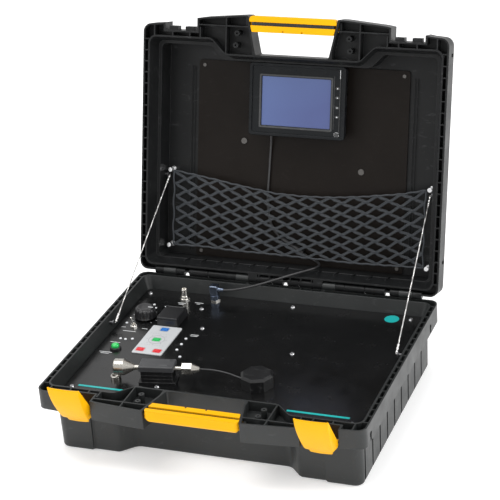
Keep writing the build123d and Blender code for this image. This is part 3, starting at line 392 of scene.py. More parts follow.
blue = plastic("key_blue", (0.02, 0.13, 0.42), rough=0.30, wear=0.2, bevel=0.0004, edge=(0.25, 0.4, 0.7))
green = plastic("key_green", (0.01, 0.36, 0.08), rough=0.30, wear=0.2, bevel=0.0004, edge=(0.2, 0.7, 0.3))
red = plastic("key_red", (0.52, 0.012, 0.02), rough=0.30, wear=0.2, bevel=0.0004, edge=(0.8, 0.3, 0.3))
button_green = plastic("button_green", (0.005, 0.40, 0.06), (0.01, 0.48, 0.09), rough=0.16, grain=500, depth=0.00001,
                       wear=0.0, scratch=0.05, coat=0.6, bevel=0.0004)
black_plastic = plastic("fitting_black", (0.010, 0.010, 0.011), (0.016, 0.016, 0.017), rough=0.34, grain=1400,
                        depth=0.00004, wear=0.4, edge_r=0.0007, bevel=0.0005)
knob_black = plastic("knob_black", (0.011, 0.011, 0.012), (0.018, 0.018, 0.019), rough=0.28, grain=1500, depth=0.00003,
                     wear=0.5, edge_r=0.0007, bevel=0.0005, edge=(0.10, 0.10, 0.10))
# the strong light edge on this rubber (wear 0.75, edge colour 0.16) is partly edge wear and partly a painted highlight
# along its bevelled edges
rubber = plastic("rubber_black", (0.0055, 0.0057, 0.0062), (0.0090, 0.0093, 0.0098), spec=0.28, rough=0.40, grain=700, depth=0.00006,
                 wear=0.75, edge_r=0.0012, bevel=0.0007, edge=(0.16, 0.16, 0.16))
clip_grey = plastic("clip_rubber", (0.030, 0.031, 0.033), (0.046, 0.047, 0.05), rough=0.40, grain=1200, depth=0.00005,
                    wear=0.8, edge_r=0.0010, bevel=0.0006, edge=(0.24, 0.24, 0.24))
monitor_black = plastic("monitor_black", (0.0056, 0.0066, 0.0076), (0.0080, 0.0092, 0.0104), spec=0.18, rough=0.30, grain=1700,
                        depth=0.00003, wear=0.6, edge_r=0.0008, bevel=0.0008, edge=(0.13, 0.13, 0.135), scratch=0.08)
monitor_key = plastic("monitor_key", (0.030, 0.031, 0.032), rough=0.32, wear=0.6, edge_r=0.0006, bevel=0.0005,
                      edge=(0.2, 0.2, 0.2))
liner = plastic("liner_board", (0.0066, 0.0048, 0.0038), (0.0094, 0.0072, 0.0058), spec=0.11, rough=0.38, grain=800, depth=0.00005,
                wear=0.3, edge_r=0.0006, dust=0.03, scratch=0.06, bevel=0.0004, edge=(0.07, 0.06, 0.055))
battery = plastic("battery_case", (0.13, 0.135, 0.14), rough=0.4, wear=0.3)
board = plastic("board_green", (0.01, 0.10, 0.035), rough=0.30, wear=0.1, grain=260, depth=0.00008, bevel=0.0)
cable = plastic("cable_black", (0.012, 0.012, 0.013), (0.020, 0.020, 0.021), rough=0.38, grain=500, depth=0.00005,
                wear=0.0, bevel=0.0, spec=0.55)
led = plastic("led_white", (0.55, 0.56, 0.58), rough=0.2, wear=0.0, bevel=0.0003, grain=900, depth=0.00001)

steel = metal("steel", (0.46, 0.46, 0.47), (0.56, 0.56, 0.57), 0.26)
screw_steel = metal("screw_steel", (0.10, 0.10, 0.105), (0.17, 0.17, 0.175), 0.32)
nickel = metal("nickel", (0.72, 0.70, 0.66), (0.80, 0.78, 0.74), 0.16, (14, 14, 1), 160)
plug_metal = metal("plug_metal", (0.11, 0.135, 0.185), (0.19, 0.225, 0.29), 0.30)
stainless = metal("stainless", (0.36, 0.345, 0.315), (0.52, 0.50, 0.46), 0.24, (1, 14, 14), 260)
stainless.bsdf.inputs["Metallic"].default_value = 0.94
hook_steel = metal("hook_steel", (0.72, 0.72, 0.73), (0.85, 0.85, 0.86), 0.18)
brass = metal("brass", (0.70, 0.52, 0.22), (0.76, 0.58, 0.28), 0.24)
lead_metal = metal("ferrule", (0.45, 0.45, 0.46), (0.62, 0.62, 0.63), 0.26)
disc_metal = metal("disc_metal", (0.09, 0.085, 0.08), (0.13, 0.125, 0.12), 0.38)

# wire rope: bright strands, darker between them
rope = Mat("wire_rope")
rope_c = rope.mix(rope.ramp(rope.noise(400, 3.0, 0.6), 0.35, 0.7), (0.62, 0.61, 0.60), (0.42, 0.41, 0.40))
rope.put(rope.bsdf.inputs["Base Color"], rope_c)
rope.bsdf.inputs["Metallic"].default_value = 1.0
rope.put(rope.bsdf.inputs["Roughness"], rope.ramp(rope.noise(200, 3.0, 0.6), 0.3, 0.7, 0.22, 0.4))
rope.put(rope.bsdf.inputs["Normal"], rope.bump(rope.noise(1500, 2.0, 0.5), 0.00004, 0.6))

# braided elastic: a fine criss-cross over the cord
elastic = Mat("elastic_cord")
braid = []
for tilt in (1, -1):
    w = elastic.n("TexWave", wave_type="BANDS", bands_direction="DIAGONAL")
    mp = elastic.n("Mapping")
    mp.inputs["Scale"].default_value = (tilt, 1, 1)
    elastic.put(mp.inputs["Vector"], elastic.co)
    elastic.put(w.inputs["Vector"], mp.outputs[0])
    w.inputs["Scale"].default_value = 340
    w.inputs["Distortion"].default_value = 1.0
    braid.append(w.outputs["Fac"])
weave = elastic.math("MAXIMUM", braid[0], braid[1])
elastic_c = elastic.mix(weave, (0.009, 0.0105, 0.013), (0.032, 0.038, 0.045))
elastic_c = elastic.mix(elastic.ramp(elastic.noise(40, 3.0, 0.6), 0.35, 0.7), elastic_c, (0.025, 0.030, 0.036))
elastic.put(elastic.bsdf.inputs["Base Color"], elastic_c)
elastic.put(elastic.bsdf.inputs["Roughness"], elastic.ramp(elastic.noise(150, 2.0, 0.5), 0.3, 0.7, 0.5, 0.68))
elastic.bsdf.inputs["Sheen Weight"].default_value = 0.18
elastic.bsdf.inputs["Sheen Roughness"].default_value = 0.4
elastic.put(elastic.bsdf.inputs["Normal"], elastic.bump(weave, 0.00018, 0.8))

# display: a lit blue-violet field, brighter towards its upper left, under a hard coat
screen = Mat("screen_glass")
sep = screen.n("SeparateXYZ")
screen.put(sep.inputs[0], screen.co)
across = screen.ramp(sep.outputs[0], -0.060, 0.056)
height = screen.ramp(sep.outputs[2], 0.35, 0.43)
glow = screen.math("ADD", screen.math("MULTIPLY", across, -0.55), screen.math("MULTIPLY", height, 0.55))
glow = screen.ramp(screen.math("ADD", glow, screen.ramp(screen.noise(9, 2.0, 0.5), 0.3, 0.7, -0.10, 0.10)), -0.45, 0.5)
screen_c = screen.mix(glow, (0.035, 0.050, 0.140), (0.054, 0.087, 0.202))
screen.put(screen.bsdf.inputs["Base Color"], screen_c)
screen.put(screen.bsdf.inputs["Emission Color"], screen_c)
screen.bsdf.inputs["Emission Strength"].default_value = 0.55
screen.put(screen.bsdf.inputs["Roughness"], screen.ramp(screen.noise(60, 2.0, 0.5), 0.3, 0.7, 0.10, 0.16))
screen.bsdf.inputs["Coat Weight"].default_value = 0.5
screen.bsdf.inputs["Coat Roughness"].default_value = 0.06
pix = screen.n("TexVoronoi", feature="F1")
pix.inputs["Scale"].default_value = 2600
screen.put(pix.inputs["Vector"], screen.co)
screen.put(screen.bsdf.inputs["Normal"], screen.bump(pix.outputs["Distance"], 0.00001, 0.3))

SLOT_MAT = {
    "case_plastic": case, "yellow_plastic": yellow, "steel": steel, "screw_steel": screw_steel,
    "panel_black": panel_black, "teal_print": teal, "keypad_grey": keypad, "key_blue": blue, "key_green": green,
    "key_red": red, "button_green": button_green, "black_plastic": black_plastic, "knob_black": knob_black,
    "nickel": nickel, "connector_blue_grey": plug_metal, "led_white": led, "stainless": stainless,
    "clip_grey": clip_grey, "rubber_black": rubber, "battery_grey": battery, "board_green": board, "brass": brass,
    "liner_black": liner, "screw_dark": disc_metal, "monitor_black": monitor_black, "screen_glass": screen,
    "monitor_key": monitor_key, "elastic_cord": elastic, "hook_steel": hook_steel, "steel_rope": rope,
    "lead_metal": lead_metal, "cable_black": cable,
}
NODE_MAT = {
    "base_shell": case, "lid_shell": lid_case_painted_shade, "base_handle_half": yellow, "lid_handle_half": yellow,
    "latch_left": yellow, "latch_right": yellow, "hinge_pins": steel, "latch_pins": steel,
    "control_panel": panel_black, "panel_screws": steel, "panel_trim": teal, "keypad_plate": keypad,
    "keypad_key_blue": blue, "keypad_key_green": green, "keypad_key_red_left": red, "keypad_key_red_right": red,
    "push_button_bezel": black_plastic, "push_button": button_green, "toggle_body": nickel, "toggle_lever": nickel,
    "dimmer_control": steel, "dimmer_knob": knob_black, "aux_socket": black_plastic, "aux_socket_flap": black_plastic,
    "video_out_jack": nickel, "video_in_jack": nickel, "video_in_plug": plug_metal, "status_leds": led,
    "probe_body": stainless, "probe_nut": stainless, "probe_clip_base": rubber, "probe_clip_cap": clip_grey,
    "clip_screws": screw_steel, "lead_gland": rubber, "probe_rest_cup": stainless, "battery_pack": battery,
    "battery_strap": rubber, "control_board": board, "board_standoffs": brass, "stay_anchors_base": screw_steel,
    "stay_anchors_lid": screw_steel, "liner_panel": liner, "liner_screws": disc_metal, "monitor_bracket": black_plastic,
    "monitor_housing": monitor_black, "monitor_bezel": monitor_black, "monitor_screen": screen,
    "monitor_button_menu": monitor_key, "monitor_button_up": monitor_key, "monitor_button_down": monitor_key,
    "monitor_button_mode": monitor_key, "monitor_power_button": monitor_key, "cargo_net": elastic,
    "net_hooks": hook_steel, "inline_connector": black_plastic, "stay_wire_left": rope, "stay_wire_right": rope,
    "probe_lead": cable, "monitor_lead": cable, "patch_lead": cable,
}
for name, obj in NODES.items():
    pick = NODE_MAT.get(name, black_plastic).m
    if obj.data.materials:
        for i in range(len(obj.data.materials)):
            obj.data.materials[i] = pick
    else:
        obj.data.materials.append(pick)


def finish_mesh(obj, material, slot=None, smooth=True, angle=40):
    obj.data.materials.clear()
    obj.data.materials.append(material.m)
    if slot:
        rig.slot(obj, slot)
    if smooth:
        for p in obj.data.polygons:
            p.use_smooth = True
        if angle:
            try:
                obj.data.set_sharp_from_angle(angle=D(angle))
            except Exception:
                pass
    return obj


def link(obj):
    bpy.context.scene.collection.objects.link(obj)
    return obj


# ---------------------------------------------------------------- cords
def nurbs(name, points, diameter, material, order=3, fill=True, sides=6):
    """points in metres; one open spline with the points as its control points."""
    data = bpy.data.curves.new(name, "CURVE")
    data.dimensions = "3D"
    sp = data.splines.new("NURBS")
    sp.points.add(len(points) - 1)
    for p, q in zip(sp.points, points):
        p.co = (*q, 1)
    sp.order_u = order
    sp.use_endpoint_u = True
    data.resolution_u = 14
    data.bevel_depth = diameter / 2
    data.bevel_resolution = sides
    data.use_fill_caps = fill
    data.materials.append(material.m)
    return link(bpy.data.objects.new(name, data))


def line_of(obj):
    """The points down the middle of a curve object."""
    bare = bpy.data.objects.new("bare", obj.data.copy())
    bare.data.bevel_depth = 0
    mesh = bpy.data.meshes.new_from_object(bare)
    pts = [v.co.copy() for v in mesh.vertices]
    bpy.data.meshes.remove(mesh)
    bpy.data.curves.remove(bare.data)
    return pts


def length_of(pts):
    return sum((b - a).length for a, b in zip(pts, pts[1:]))


def as_mesh(obj):
    """The curve object again, as a mesh object with the same name."""
    name = obj.name
    mesh = bpy.data.meshes.new_from_object(obj)
    mats = list(obj.data.materials)
    old = obj.data
    bpy.data.objects.remove(obj)
    bpy.data.curves.remove(old)
    mesh.name = name
    out = link(bpy.data.objects.new(name, mesh))
    if not mesh.materials:
        for x in mats:
            mesh.materials.append(x)
    for p in mesh.polygons:
        p.use_smooth = True
    return out


def frames_along(pts):
    """(point, tangent, side, up) with a side that turns as little as it can."""
    out, side = [], None
    for i, p in enumerate(pts):
        t = (pts[min(i + 1, len(pts) - 1)] - pts[max(i - 1, 0)]).normalized()
        if side is None:
            side = t.orthogonal().normalized()
        side = (side - t * side.dot(t)).normalized()
        out.append((p, t, side, t.cross(side)))
    return out


def resample(pts, step):
    total = length_of(pts)
    n = max(2, math.ceil(total / step))
    out, seg, done = [], 0, 0.0
    for i in range(n + 1):
        want = total * i / n
        while seg < len(pts) - 2 and done + (pts[seg + 1] - pts[seg]).length < want:
            done += (pts[seg + 1] - pts[seg]).length
            seg += 1
        d = (pts[seg + 1] - pts[seg]).length or 1e-9
        out.append(pts[seg].lerp(pts[seg + 1], min(1.0, (want - done) / d)))
    return out


def sweep_rings(bm, pts, radius, sides=8, caps=True):
    """A closed tube round pts, added to bm. radius is a number or a list of one for each point."""
    rings = []
    for i, (p, t, s, u) in enumerate(frames_along(pts)):
        r = radius[i] if isinstance(radius, (list, tuple)) else radius
        rings.append([bm.verts.new(p + (s * math.cos(a) + u * math.sin(a)) * r)
                      for a in (2 * math.pi * k / sides for k in range(sides))])
    for a, b in zip(rings, rings[1:]):
        for k in range(sides):
            bm.faces.new((a[k], a[(k + 1) % sides], b[(k + 1) % sides], b[k]))
    if caps:
        bm.faces.new(list(reversed(rings[0])))
        bm.faces.new(rings[-1])


def mesh_object(name, bm, material, slot=None, angle=40):
    bmesh.ops.recalc_face_normals(bm, faces=bm.faces)
    mesh = bpy.data.meshes.new(name)
    bm.to_mesh(mesh)
    bm.free()
    obj = link(bpy.data.objects.new(name, mesh))
    return finish_mesh(obj, material, slot, True, angle)


def revolve(name, profile, origin, axis, material, slot=None, steps=48, angle=35, shape=None):
    """A turned piece: profile is (distance along axis, radius) in metres; shape(k, r) may change the radius round it."""
    axis = Vector(axis).normalized()
    side = axis.orthogonal().normalized()
    upv = axis.cross(side)
    bm = bmesh.new()
    rings = []
    for d, r in profile:
        ring = []
        for k in range(steps):
            a = 2 * math.pi * k / steps
            rr = shape(a, r, d) if shape else r
            ring.append(bm.verts.new(Vector(origin) + axis * d + (side * math.cos(a) + upv * math.sin(a)) * rr))
        rings.append(ring)
    for a, b in zip(rings, rings[1:]):
        for k in range(steps):
            bm.faces.new((a[k], a[(k + 1) % steps], b[(k + 1) % steps], b[k]))
    bm.faces.new(list(reversed(rings[0])))
    bm.faces.new(rings[-1])
    return mesh_object(name, bm, material, slot, angle)


PROBE_LEAD = [mm(*p) for p in [(-35.82, -84.10, 105.0), (-24.5, -82.2, 105.0), (-8.0, -80.3, 103.7),
                               (8.5, -80.2, 101.0), (19.0, -81.0, 98.4), (27.0, -81.9, 97.0)]]
MONITOR_LEAD = [lid(*p) for p in [(-45.0, -32.5, 152.0), (-45.4, -22.0, 154.6), (-47.0, -8.0, 158.2),
                                  (-48.2, 13.0, 159.2), (-49.0, 36.0, 159.3), (-50.2, 58.0, 159.1), (-49.7, 80.0, 159.0),
                                  (-47.3, 101.0, 158.3), (-42.0, 115.0, 157.4), (-35.0, 124.5, 156.4),
                                  (-27.5, 130.9, 155.8), (-21.3, 134.5, 155.8)]]
PATCH_LEAD = [lid(*p) for p in [(11.05, 153.03, 155.8), (20.5, 158.45, 155.8), (30.5, 162.2, 154.4),
                                (39.0, 164.6, 149.0), (43.8, 166.0, 139.5), (44.0, 167.2, 128.0)]]
PATCH_LEAD += [mm(*p) for p in [(38, 203, 130.6), (27, 192.5, 130.2), (12, 184, 127.4), (-6, 176.5, 122.7),
                                (-27, 170, 116.4), (-48, 164.3, 110.4), (-67, 160, 106.3), (-81, 157.5, 104.3),
                                (-89.9, 157, 104)]]

probe_cable = nurbs("probe_lead_cable", PROBE_LEAD, 0.0026, cable)
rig.ride(probe_cable, "base")
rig.replaces(probe_cable, "probe_lead")
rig.slot(probe_cable, "cable_black")
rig.cord(probe_cable, exit=PROBE_LEAD[0], length=0.0638, diameter=0.0026, far_end="object", stiffness="medium", lay="taut",
        with_pieces=[])

monitor_cable = nurbs("monitor_lead_cable", MONITOR_LEAD, 0.0036, cable)
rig.ride(monitor_cable, "lid")
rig.replaces(monitor_cable, "monitor_lead")
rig.slot(monitor_cable, "cable_black")
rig.cord(monitor_cable, exit=MONITOR_LEAD[0], length=0.1782, diameter=0.0036, far_end="connector", stiffness="medium",
        lay="hanging", with_pieces=["inline_connector"])

patch = nurbs("patch_lead_cable", PATCH_LEAD, 0.0036, cable)
patch_line = line_of(patch)
patch = as_mesh(patch)
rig.slot(patch, "cable_black")
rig.blend(patch, "base", "lid", start=mm(12, 184, 122), end=mm(30, 236, 133))
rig.replaces(patch, "patch_lead")
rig.cord(patch, exit=patch_line[0], length=0.207, diameter=0.0036, far_end="object", stiffness="medium", lay="loose",
        path=patch_line)


def wire(name, node, s):
    a, b = mm(218.2 * s, 35, 96), lid(210.6 * s, 46, 150)
    ctrl = [a.lerp(b, k / 5) for k in range(6)]
    base = nurbs(name + "_core", ctrl, 0.0011, rope)
    line = line_of(base)
    total = length_of(line)
    bpy.data.objects.remove(base)
    fine = resample(line, 0.0009)
    bm = bmesh.new()
    sweep_rings(bm, resample(line, 0.006), 0.00040, 6)
    fr = frames_along(fine)
    for k in range(6):
        pts = []
        for i, (p, t, sd, u) in enumerate(fr):
            ang = 2 * math.pi * (k / 6 + i * 0.0009 / 0.0105)
            pts.append(p + (sd * math.cos(ang) + u * math.sin(ang)) * 0.00062)
        sweep_rings(bm, pts, 0.00031, 5)
    # crimped ferrules: two pressed bands each, with swaged ends
    t = (b - a).normalized()
    for end, sign in ((a, 1), (b, -1)):
        d0 = end + t * sign * 0.0015
        prof = [(0, 0.0012), (0.0006, 0.0019), (0.0035, 0.0020), (0.0045, 0.0016), (0.0060, 0.0016), (0.0070, 0.0020),
                (0.0095, 0.0020), (0.0105, 0.0016), (0.0120, 0.0016), (0.0130, 0.0020), (0.0150, 0.0019), (0.0158, 0.0012)]
        sweep_rings(bm, [d0 + t * sign * x for x, r in prof], [r for x, r in prof], 16)
    obj = mesh_object(name, bm, rope, "steel_rope", 60)
    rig.blend(obj, "base", "lid", start=a, end=b)
    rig.replaces(obj, node)
    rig.cord(obj, exit=a, length=total, diameter=0.0018, far_end="object", stiffness="stiff", lay="taut", path=line)
    return obj


wire("stay_wire_rope_left", "stay_wire_left", -1)
wire("stay_wire_rope_right", "stay_wire_right", 1)

# ---------------------------------------------------------------- cargo net: paired elastic strands on a border cord
NET_TOP = [(-205, 38), (-140, 47), (-95, 54), (-35, 62), (12, 63), (58, 61), (105, 56), (167, 47), (205, 38)]
NET_BOT = [(-204, 157), (-150, 156), (-100, 158), (-35, 158), (30, 159), (95, 160), (167, 158), (206, 157)]


def along(table, x):
    for (x0, y0), (x1, y1) in zip(table, table[1:]):
        if x <= x1 or (x1, y1) == table[-1]:
            t = (x - x0) / (x1 - x0)
            return y0 + (y1 - y0) * t


COLS, ROWS = 22, 12          # half cells across and down


def net_point(a, b):
    """A point of the net, in the shut case's millimetres, for lattice place a, b."""
    u, v = a / COLS, b / ROWS
    lx, rx = -202.5 + 4.0 * math.sin(math.pi * v), 203.5 - 2.0 * math.sin(math.pi * v)
    x = lx + (rx - lx) * u
    # strands crowd a little towards the held corners
    x += 3.0 * math.sin(2 * math.pi * u) * (0.5 - abs(v - 0.5))
    top, bot = along(NET_TOP, max(-205, min(205, x))) + 1.2, along(NET_BOT, max(-204, min(206, x))) - 1.2
    y = top + (bot - top) * v
    return x, y


def strand(points, lift):
    """Two parallel cords that lie side by side and close up where strands cross."""
    out = []
    for side in (-1, 1):
        pts = []
        for i, (x, y, at_node) in enumerate(points):
            x0, y0, _ = points[max(i - 1, 0)]
            x1, y1, _ = points[min(i + 1, len(points) - 1)]
            dx, dy = x1 - x0, y1 - y0
            d = math.hypot(dx, dy) or 1
            off = side * (0.72 if at_node else 1.02)
            z = 148.3 + (lift if at_node else 0.0)
            pts.append(lid(x - dy / d * off, y + dx / d * off, z))
        out.append(pts)
    return out


bm = bmesh.new()
jig = {}
for a in range(COLS + 1):
    for b in range(ROWS + 1):
        inner = 0 < a < COLS and 0 < b < ROWS
        jig[a, b] = ((rnd() - 0.5) * 2.0 if inner else 0, (rnd() - 0.5) * 1.4 if inner else 0)
for direction in (1, -1):
    for c in range(-ROWS, COLS + 1):
        if c % 2:
            continue
        nodes_on = []
        for b in range(ROWS + 1):
            a = c + b
            if 0 <= a <= COLS:
                nodes_on.append((a, b) if direction > 0 else (COLS - a, b))
        if len(nodes_on) < 2:
            continue
        pts = []
        for i, (a, b) in enumerate(nodes_on):
            x, y = net_point(a, b)
            x, y = x + jig[a, b][0], y + jig[a, b][1]
            if i:
                px, py = last
                for f in (0.25, 0.5, 0.75):
                    # the legs bow a little, so each mesh is a rounded diamond
                    bow = 0.8 * math.sin(math.pi * 2 * f) * direction
                    pts.append((px + (x - px) * f, py + (y - py) * f + bow, False))
            pts.append((x, y, True))
            last = (x, y)
        for line in strand(pts, 0.75 * direction):
            sweep_rings(bm, line, 0.00100, 7)
# border cord, with small turns where the strands loop over it
outline = []
for k in range(0, 89):
    x = -203.5 + 407 * k / 88
    wave = 0.9 * math.sin(k * math.pi / 2)
    outline.append((x, along(NET_TOP, x) + 0.4 + wave * 0.6, 148.3 + 0.8 * math.cos(k * math.pi / 4)))
for k in range(1, 24):
    outline.append((203.5 + 0.9 * math.sin(k * 0.9), 38 + 119 * k / 24, 148.3))
for k in range(0, 89):
    x = 204.5 - 407 * k / 88
    outline.append((x, along(NET_BOT, max(-204, x)) - 0.2 + 0.5 * math.sin(k * math.pi / 2), 148.3))
for k in range(1, 24):
    outline.append((-202.8 + 0.9 * math.sin(k * 0.8), 157 - 119 * k / 24, 148.3))
outline.append(outline[0])
sweep_rings(bm, [lid(*p) for p in outline], 0.00135, 8)
net = mesh_object("cargo_net_woven", bm, elastic, "elastic_cord", 60)
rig.ride(net, "lid")
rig.replaces(net, "cargo_net")
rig.sheet(net, flat=(0.411, 0.120), held="stretched", area=0.0425, rests_on=["net_hooks"])

# ---------------------------------------------------------------- small building helpers
def box_bm(bm, at, size, where=mm, bevel=0.0):
    """A box added to bm: at is its centre and size its sides, in millimetres of where's frame."""
    made = []
    for dx in (-0.5, 0.5):
        for dy in (-0.5, 0.5):
            for dz in (-0.5, 0.5):
                made.append(bm.verts.new(where(at[0] + dx * size[0], at[1] + dy * size[1], at[2] + dz * size[2])))
    a, b, c, d, e, f, g, h = made
    faces = [bm.faces.new(x) for x in ((a, b, d, c), (e, g, h, f), (a, e, f, b), (c, d, h, g), (a, c, g, e), (b, f, h, d))]
    if bevel:
        edges = list({x for fc in faces for x in fc.edges})
        bmesh.ops.bevel(bm, geom=edges, offset=bevel * MM, segments=3, profile=0.6, affect="EDGES")


def plate_bm(bm, loop, z0, z1, where=mm):
    """A flat plate with that outline, from z0 to z1."""
    lo = [bm.verts.new(where(x, y, z0)) for x, y in loop]
    hi = [bm.verts.new(where(x, y, z1)) for x, y in loop]
    n = len(loop)
    for k in range(n):
        bm.faces.new((lo[k], lo[(k + 1) % n], hi[(k + 1) % n], hi[k]))
    bm.faces.new(list(reversed(lo)))
    bm.faces.new(hi)


def round_rect(cx, cy, w, h, r, n=6):
    out = []
    for sx, sy, a0 in ((1, 1, 0), (-1, 1, 90), (-1, -1, 180), (1, -1, 270)):
        for k in range(n + 1):
            a = D(a0 + 90 * k / n)
            out.append((cx + sx * (w / 2 - r) + r * math.cos(a), cy + sy * (h / 2 - r) + r * math.sin(a)))
    return out


def ring_bm(bm, outer, inner, z0, z1, where=mm, lean=0.0):
    """A frame between two outlines with as many points. lean draws its outer edge in at z1."""
    n = len(outer)
    cx = sum(p[0] for p in outer) / n
    cy = sum(p[1] for p in outer) / n

    def drawn(p, d):
        v = Vector((p[0] - cx, p[1] - cy))
        return p[0] - d * (1 if v.x > 0 else -1), p[1] - d * (1 if v.y > 0 else -1)

    rows = [[bm.verts.new(where(x, y, z0)) for x, y in outer],
            [bm.verts.new(where(*drawn(p, 0), z0 + (z1 - z0) * 0.6)) for p in outer],
            [bm.verts.new(where(*drawn(p, lean), z1)) for p in outer],
            [bm.verts.new(where(*drawn(p, -lean), z1)) for p in inner],
            [bm.verts.new(where(*drawn(p, 0), z0 + (z1 - z0) * 0.4)) for p in inner],
            [bm.verts.new(where(x, y, z0)) for x, y in inner]]
    for a, b in zip(rows, rows[1:] + rows[:1]):
        for k in range(n):
            bm.faces.new((a[k], a[(k + 1) % n], b[(k + 1) % n], b[k]))


def disc_loop(cx, cy, r, n=20):
    return [(cx + r * math.cos(2 * math.pi * k / n), cy + r * math.sin(2 * math.pi * k / n)) for k in range(n)]


def modifier(obj, kind, **props):
    mod = obj.modifiers.new(kind.lower(), kind)
    for k, v in props.items():
        setattr(mod, k, v)
    return mod


def applied(obj):
    """obj with its modifiers made real."""
    bpy.context.view_layer.update()
    dg = bpy.context.evaluated_depsgraph_get()
    mesh = bpy.data.meshes.new_from_object(obj.evaluated_get(dg))
    old = obj.data
    obj.modifiers.clear()
    obj.data = mesh
    bpy.data.meshes.remove(old)
    return obj


# ---------------------------------------------------------------- latches: crowned covers with side flanks and a lip
LATCH_ROWS = [  # height, front, half width in front, half width behind, depth of the flank (shut latch, mm)
    (145.6, -198.9, 22.6, 23.6, 1.8), (144.4, -200.1, 23.1, 24.4, 3.2), (136, -202.8, 23.0, 24.8, 6.2),
    (124, -204.8, 22.5, 24.9, 9.5), (112, -205.7, 21.8, 24.9, 12.0), (100, -205.7, 21.0, 24.9, 13.4),
    (90, -205.1, 20.4, 24.9, 13.4), (83, -204.2, 20.0, 24.9, 12.2), (79.0, -203.2, 19.4, 24.2, 10.0),
    (77.0, -202.4, 18.6, 22.4, 7.2), (76.2, -201.4, 17.0, 18.4, 4.4), (75.2, -200.5, 15.8, 16.6, 3.2),
    (70.0, -200.5, 15.6, 16.3, 2.6), (67.0, -200.0, 14.9, 15.7, 2.0)]


def latch_cover(name, node, body, s):
    bm = bmesh.new()
    rows = []
    for z, yf, w, wb, d in LATCH_ROWS:
        row = []
        for k in range(9):
            if k == 0 or k == 8:
                x, y = (-wb if k == 0 else wb), yf + d
            else:
                t = (k - 4) / 3
                x, y = w * t, yf + 0.9 * t * t
            row.append(bm.verts.new(latch(s * 178 + x, y, z)))
        rows.append(row)
    for a, b in zip(rows, rows[1:]):
        for k in range(8):
            bm.faces.new((a[k], b[k], b[k + 1], a[k + 1]))
    bmesh.ops.recalc_face_normals(bm, faces=bm.faces)
    out = sum((f.normal for f in bm.faces), Vector())
    if out.y > 0:
        bmesh.ops.reverse_faces(bm, faces=bm.faces)
    mesh = bpy.data.meshes.new(name)
    bm.to_mesh(mesh)
    bm.free()
    obj = link(bpy.data.objects.new(name, mesh))
    modifier(obj, "SOLIDIFY", thickness=0.0023, offset=-1)
    modifier(obj, "BEVEL", width=0.0007, segments=3, limit_method="ANGLE", angle_limit=D(24))
    applied(obj)
    finish_mesh(obj, yellow, "yellow_plastic", True, 50)
    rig.ride(obj, body)
    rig.replaces(obj, node)
    bm = bmesh.new()
    for d in (-20.5, -7, 7, 20.5):
        box_bm(bm, (s * 178 + d * 0.86, -194.5, 81), (2.6, 12, 10), latch, 0.4)
    for h in (98, 112):
        box_bm(bm, (s * 178, -200.6, h), (40, 4.6, 2.2), latch, 0.3)
    box_bm(bm, (s * 178, -197.4, 125.4), (43, 9.6, 3.0), latch, 0.5)
    box_bm(bm, (s * 178, -192.9, 124.0), (43, 2.3, 4.2), latch, 0.5)
    inner = mesh_object(name + "_ribs", bm, yellow, "yellow_plastic")
    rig.ride(inner, body)
    barrel = revolve(name + "_barrel", [(0, 3.6 * MM), (0.6 * MM, 4.2 * MM), (47.4 * MM, 4.2 * MM), (48 * MM, 3.6 * MM)],
                     latch(s * 178 - 24, -188, 81), (1, 0, 0), yellow, "yellow_plastic", 32)
    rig.ride(barrel, body)


latch_cover("latch_cover_left", "latch_left", "latch_left_body", -1)
latch_cover("latch_cover_right", "latch_right", "latch_right_body", 1)

# dark insert in the split of each half of the handle
for body, where, zs in (("base", mm, (91.5, 102.6)), ("lid", lid, (118.2, 106.4))):
    bm = bmesh.new()
    box_bm(bm, (0, -198.9, (zs[0] + zs[1]) / 2), (129, 4.9, abs(zs[1] - zs[0])), where, 0.5)
    top = zs[1]
    up_sign = 1 if body == "base" else -1
    for k in range(-15, 16):
        box_bm(bm, (k * 4.0, -198.9, top + up_sign * 0.25), (1.2, 4.4, 0.9), where)
    piece = mesh_object("handle_insert_" + body, bm, black_plastic, "black_plastic")
    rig.ride(piece, body)
    # dark socket round each end of the grip, inside its housing; the lid's sockets take the lid plastic, which is
    # painted darker as shade
    bm = bmesh.new()
    for side in (-1, 1):
        box_bm(bm, (side * 73.3, -198.5, 95 if body == "base" else 115), (4.4, 15.4, 9.4), where, 0.5)
    piece = mesh_object("handle_socket_" + body, bm, case if body == "base" else lid_case_painted_shade, "case_plastic")
    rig.ride(piece, body)

# ---------------------------------------------------------------- panel details
knob_at = (-189.0, 81.0)


def knob_shape(a, r, d):
    if 0.0022 < d < 0.0150:
        return r - 0.0009 * (0.5 + 0.5 * math.cos(a * 14)) ** 3 * min(1.0, (d - 0.0022) / 0.002)
    return r


knob = revolve("dimmer_knob_fluted",
               [(0.0, 0.0146), (0.0006, 0.0152), (0.0020, 0.0170), (0.0024, 0.0170), (0.0034, 0.0164), (0.0060, 0.0162),
                (0.0090, 0.0159), (0.0120, 0.0156), (0.0146, 0.0152), (0.0158, 0.0142), (0.0163, 0.0132),
                (0.0164, 0.0124), (0.0172, 0.0122), (0.0178, 0.0116), (0.0179, 0.0100), (0.0174, 0.0080),
                (0.0173, 0.0040), (0.0173, 0.0006)],
               mm(knob_at[0], knob_at[1], 85.6), (0, 0, 1), knob_black, "knob_black", 112, 35, knob_shape)
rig.ride(knob, "dimmer_knob_body")
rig.replaces(knob, "dimmer_knob")
white = plastic("white_print", (0.62, 0.63, 0.64), (0.70, 0.71, 0.72), rough=0.45, wear=0.0, scratch=0.0, bevel=0.0,
                grain=1800, depth=0.00002)
grey_print = plastic("grey_print", (0.20, 0.21, 0.22), (0.25, 0.26, 0.27), rough=0.45, wear=0.0, scratch=0.0, bevel=0.0,
                     grain=1800, depth=0.00002)
bm = bmesh.new()
box_bm(bm, (knob_at[0] + 9.5, knob_at[1] - 0.4, 103.55), (8.0, 1.3, 0.5), mm, 0.15)
pointer = mesh_object("dimmer_pointer", bm, white, "led_white")
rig.ride(pointer, "dimmer_knob_body")

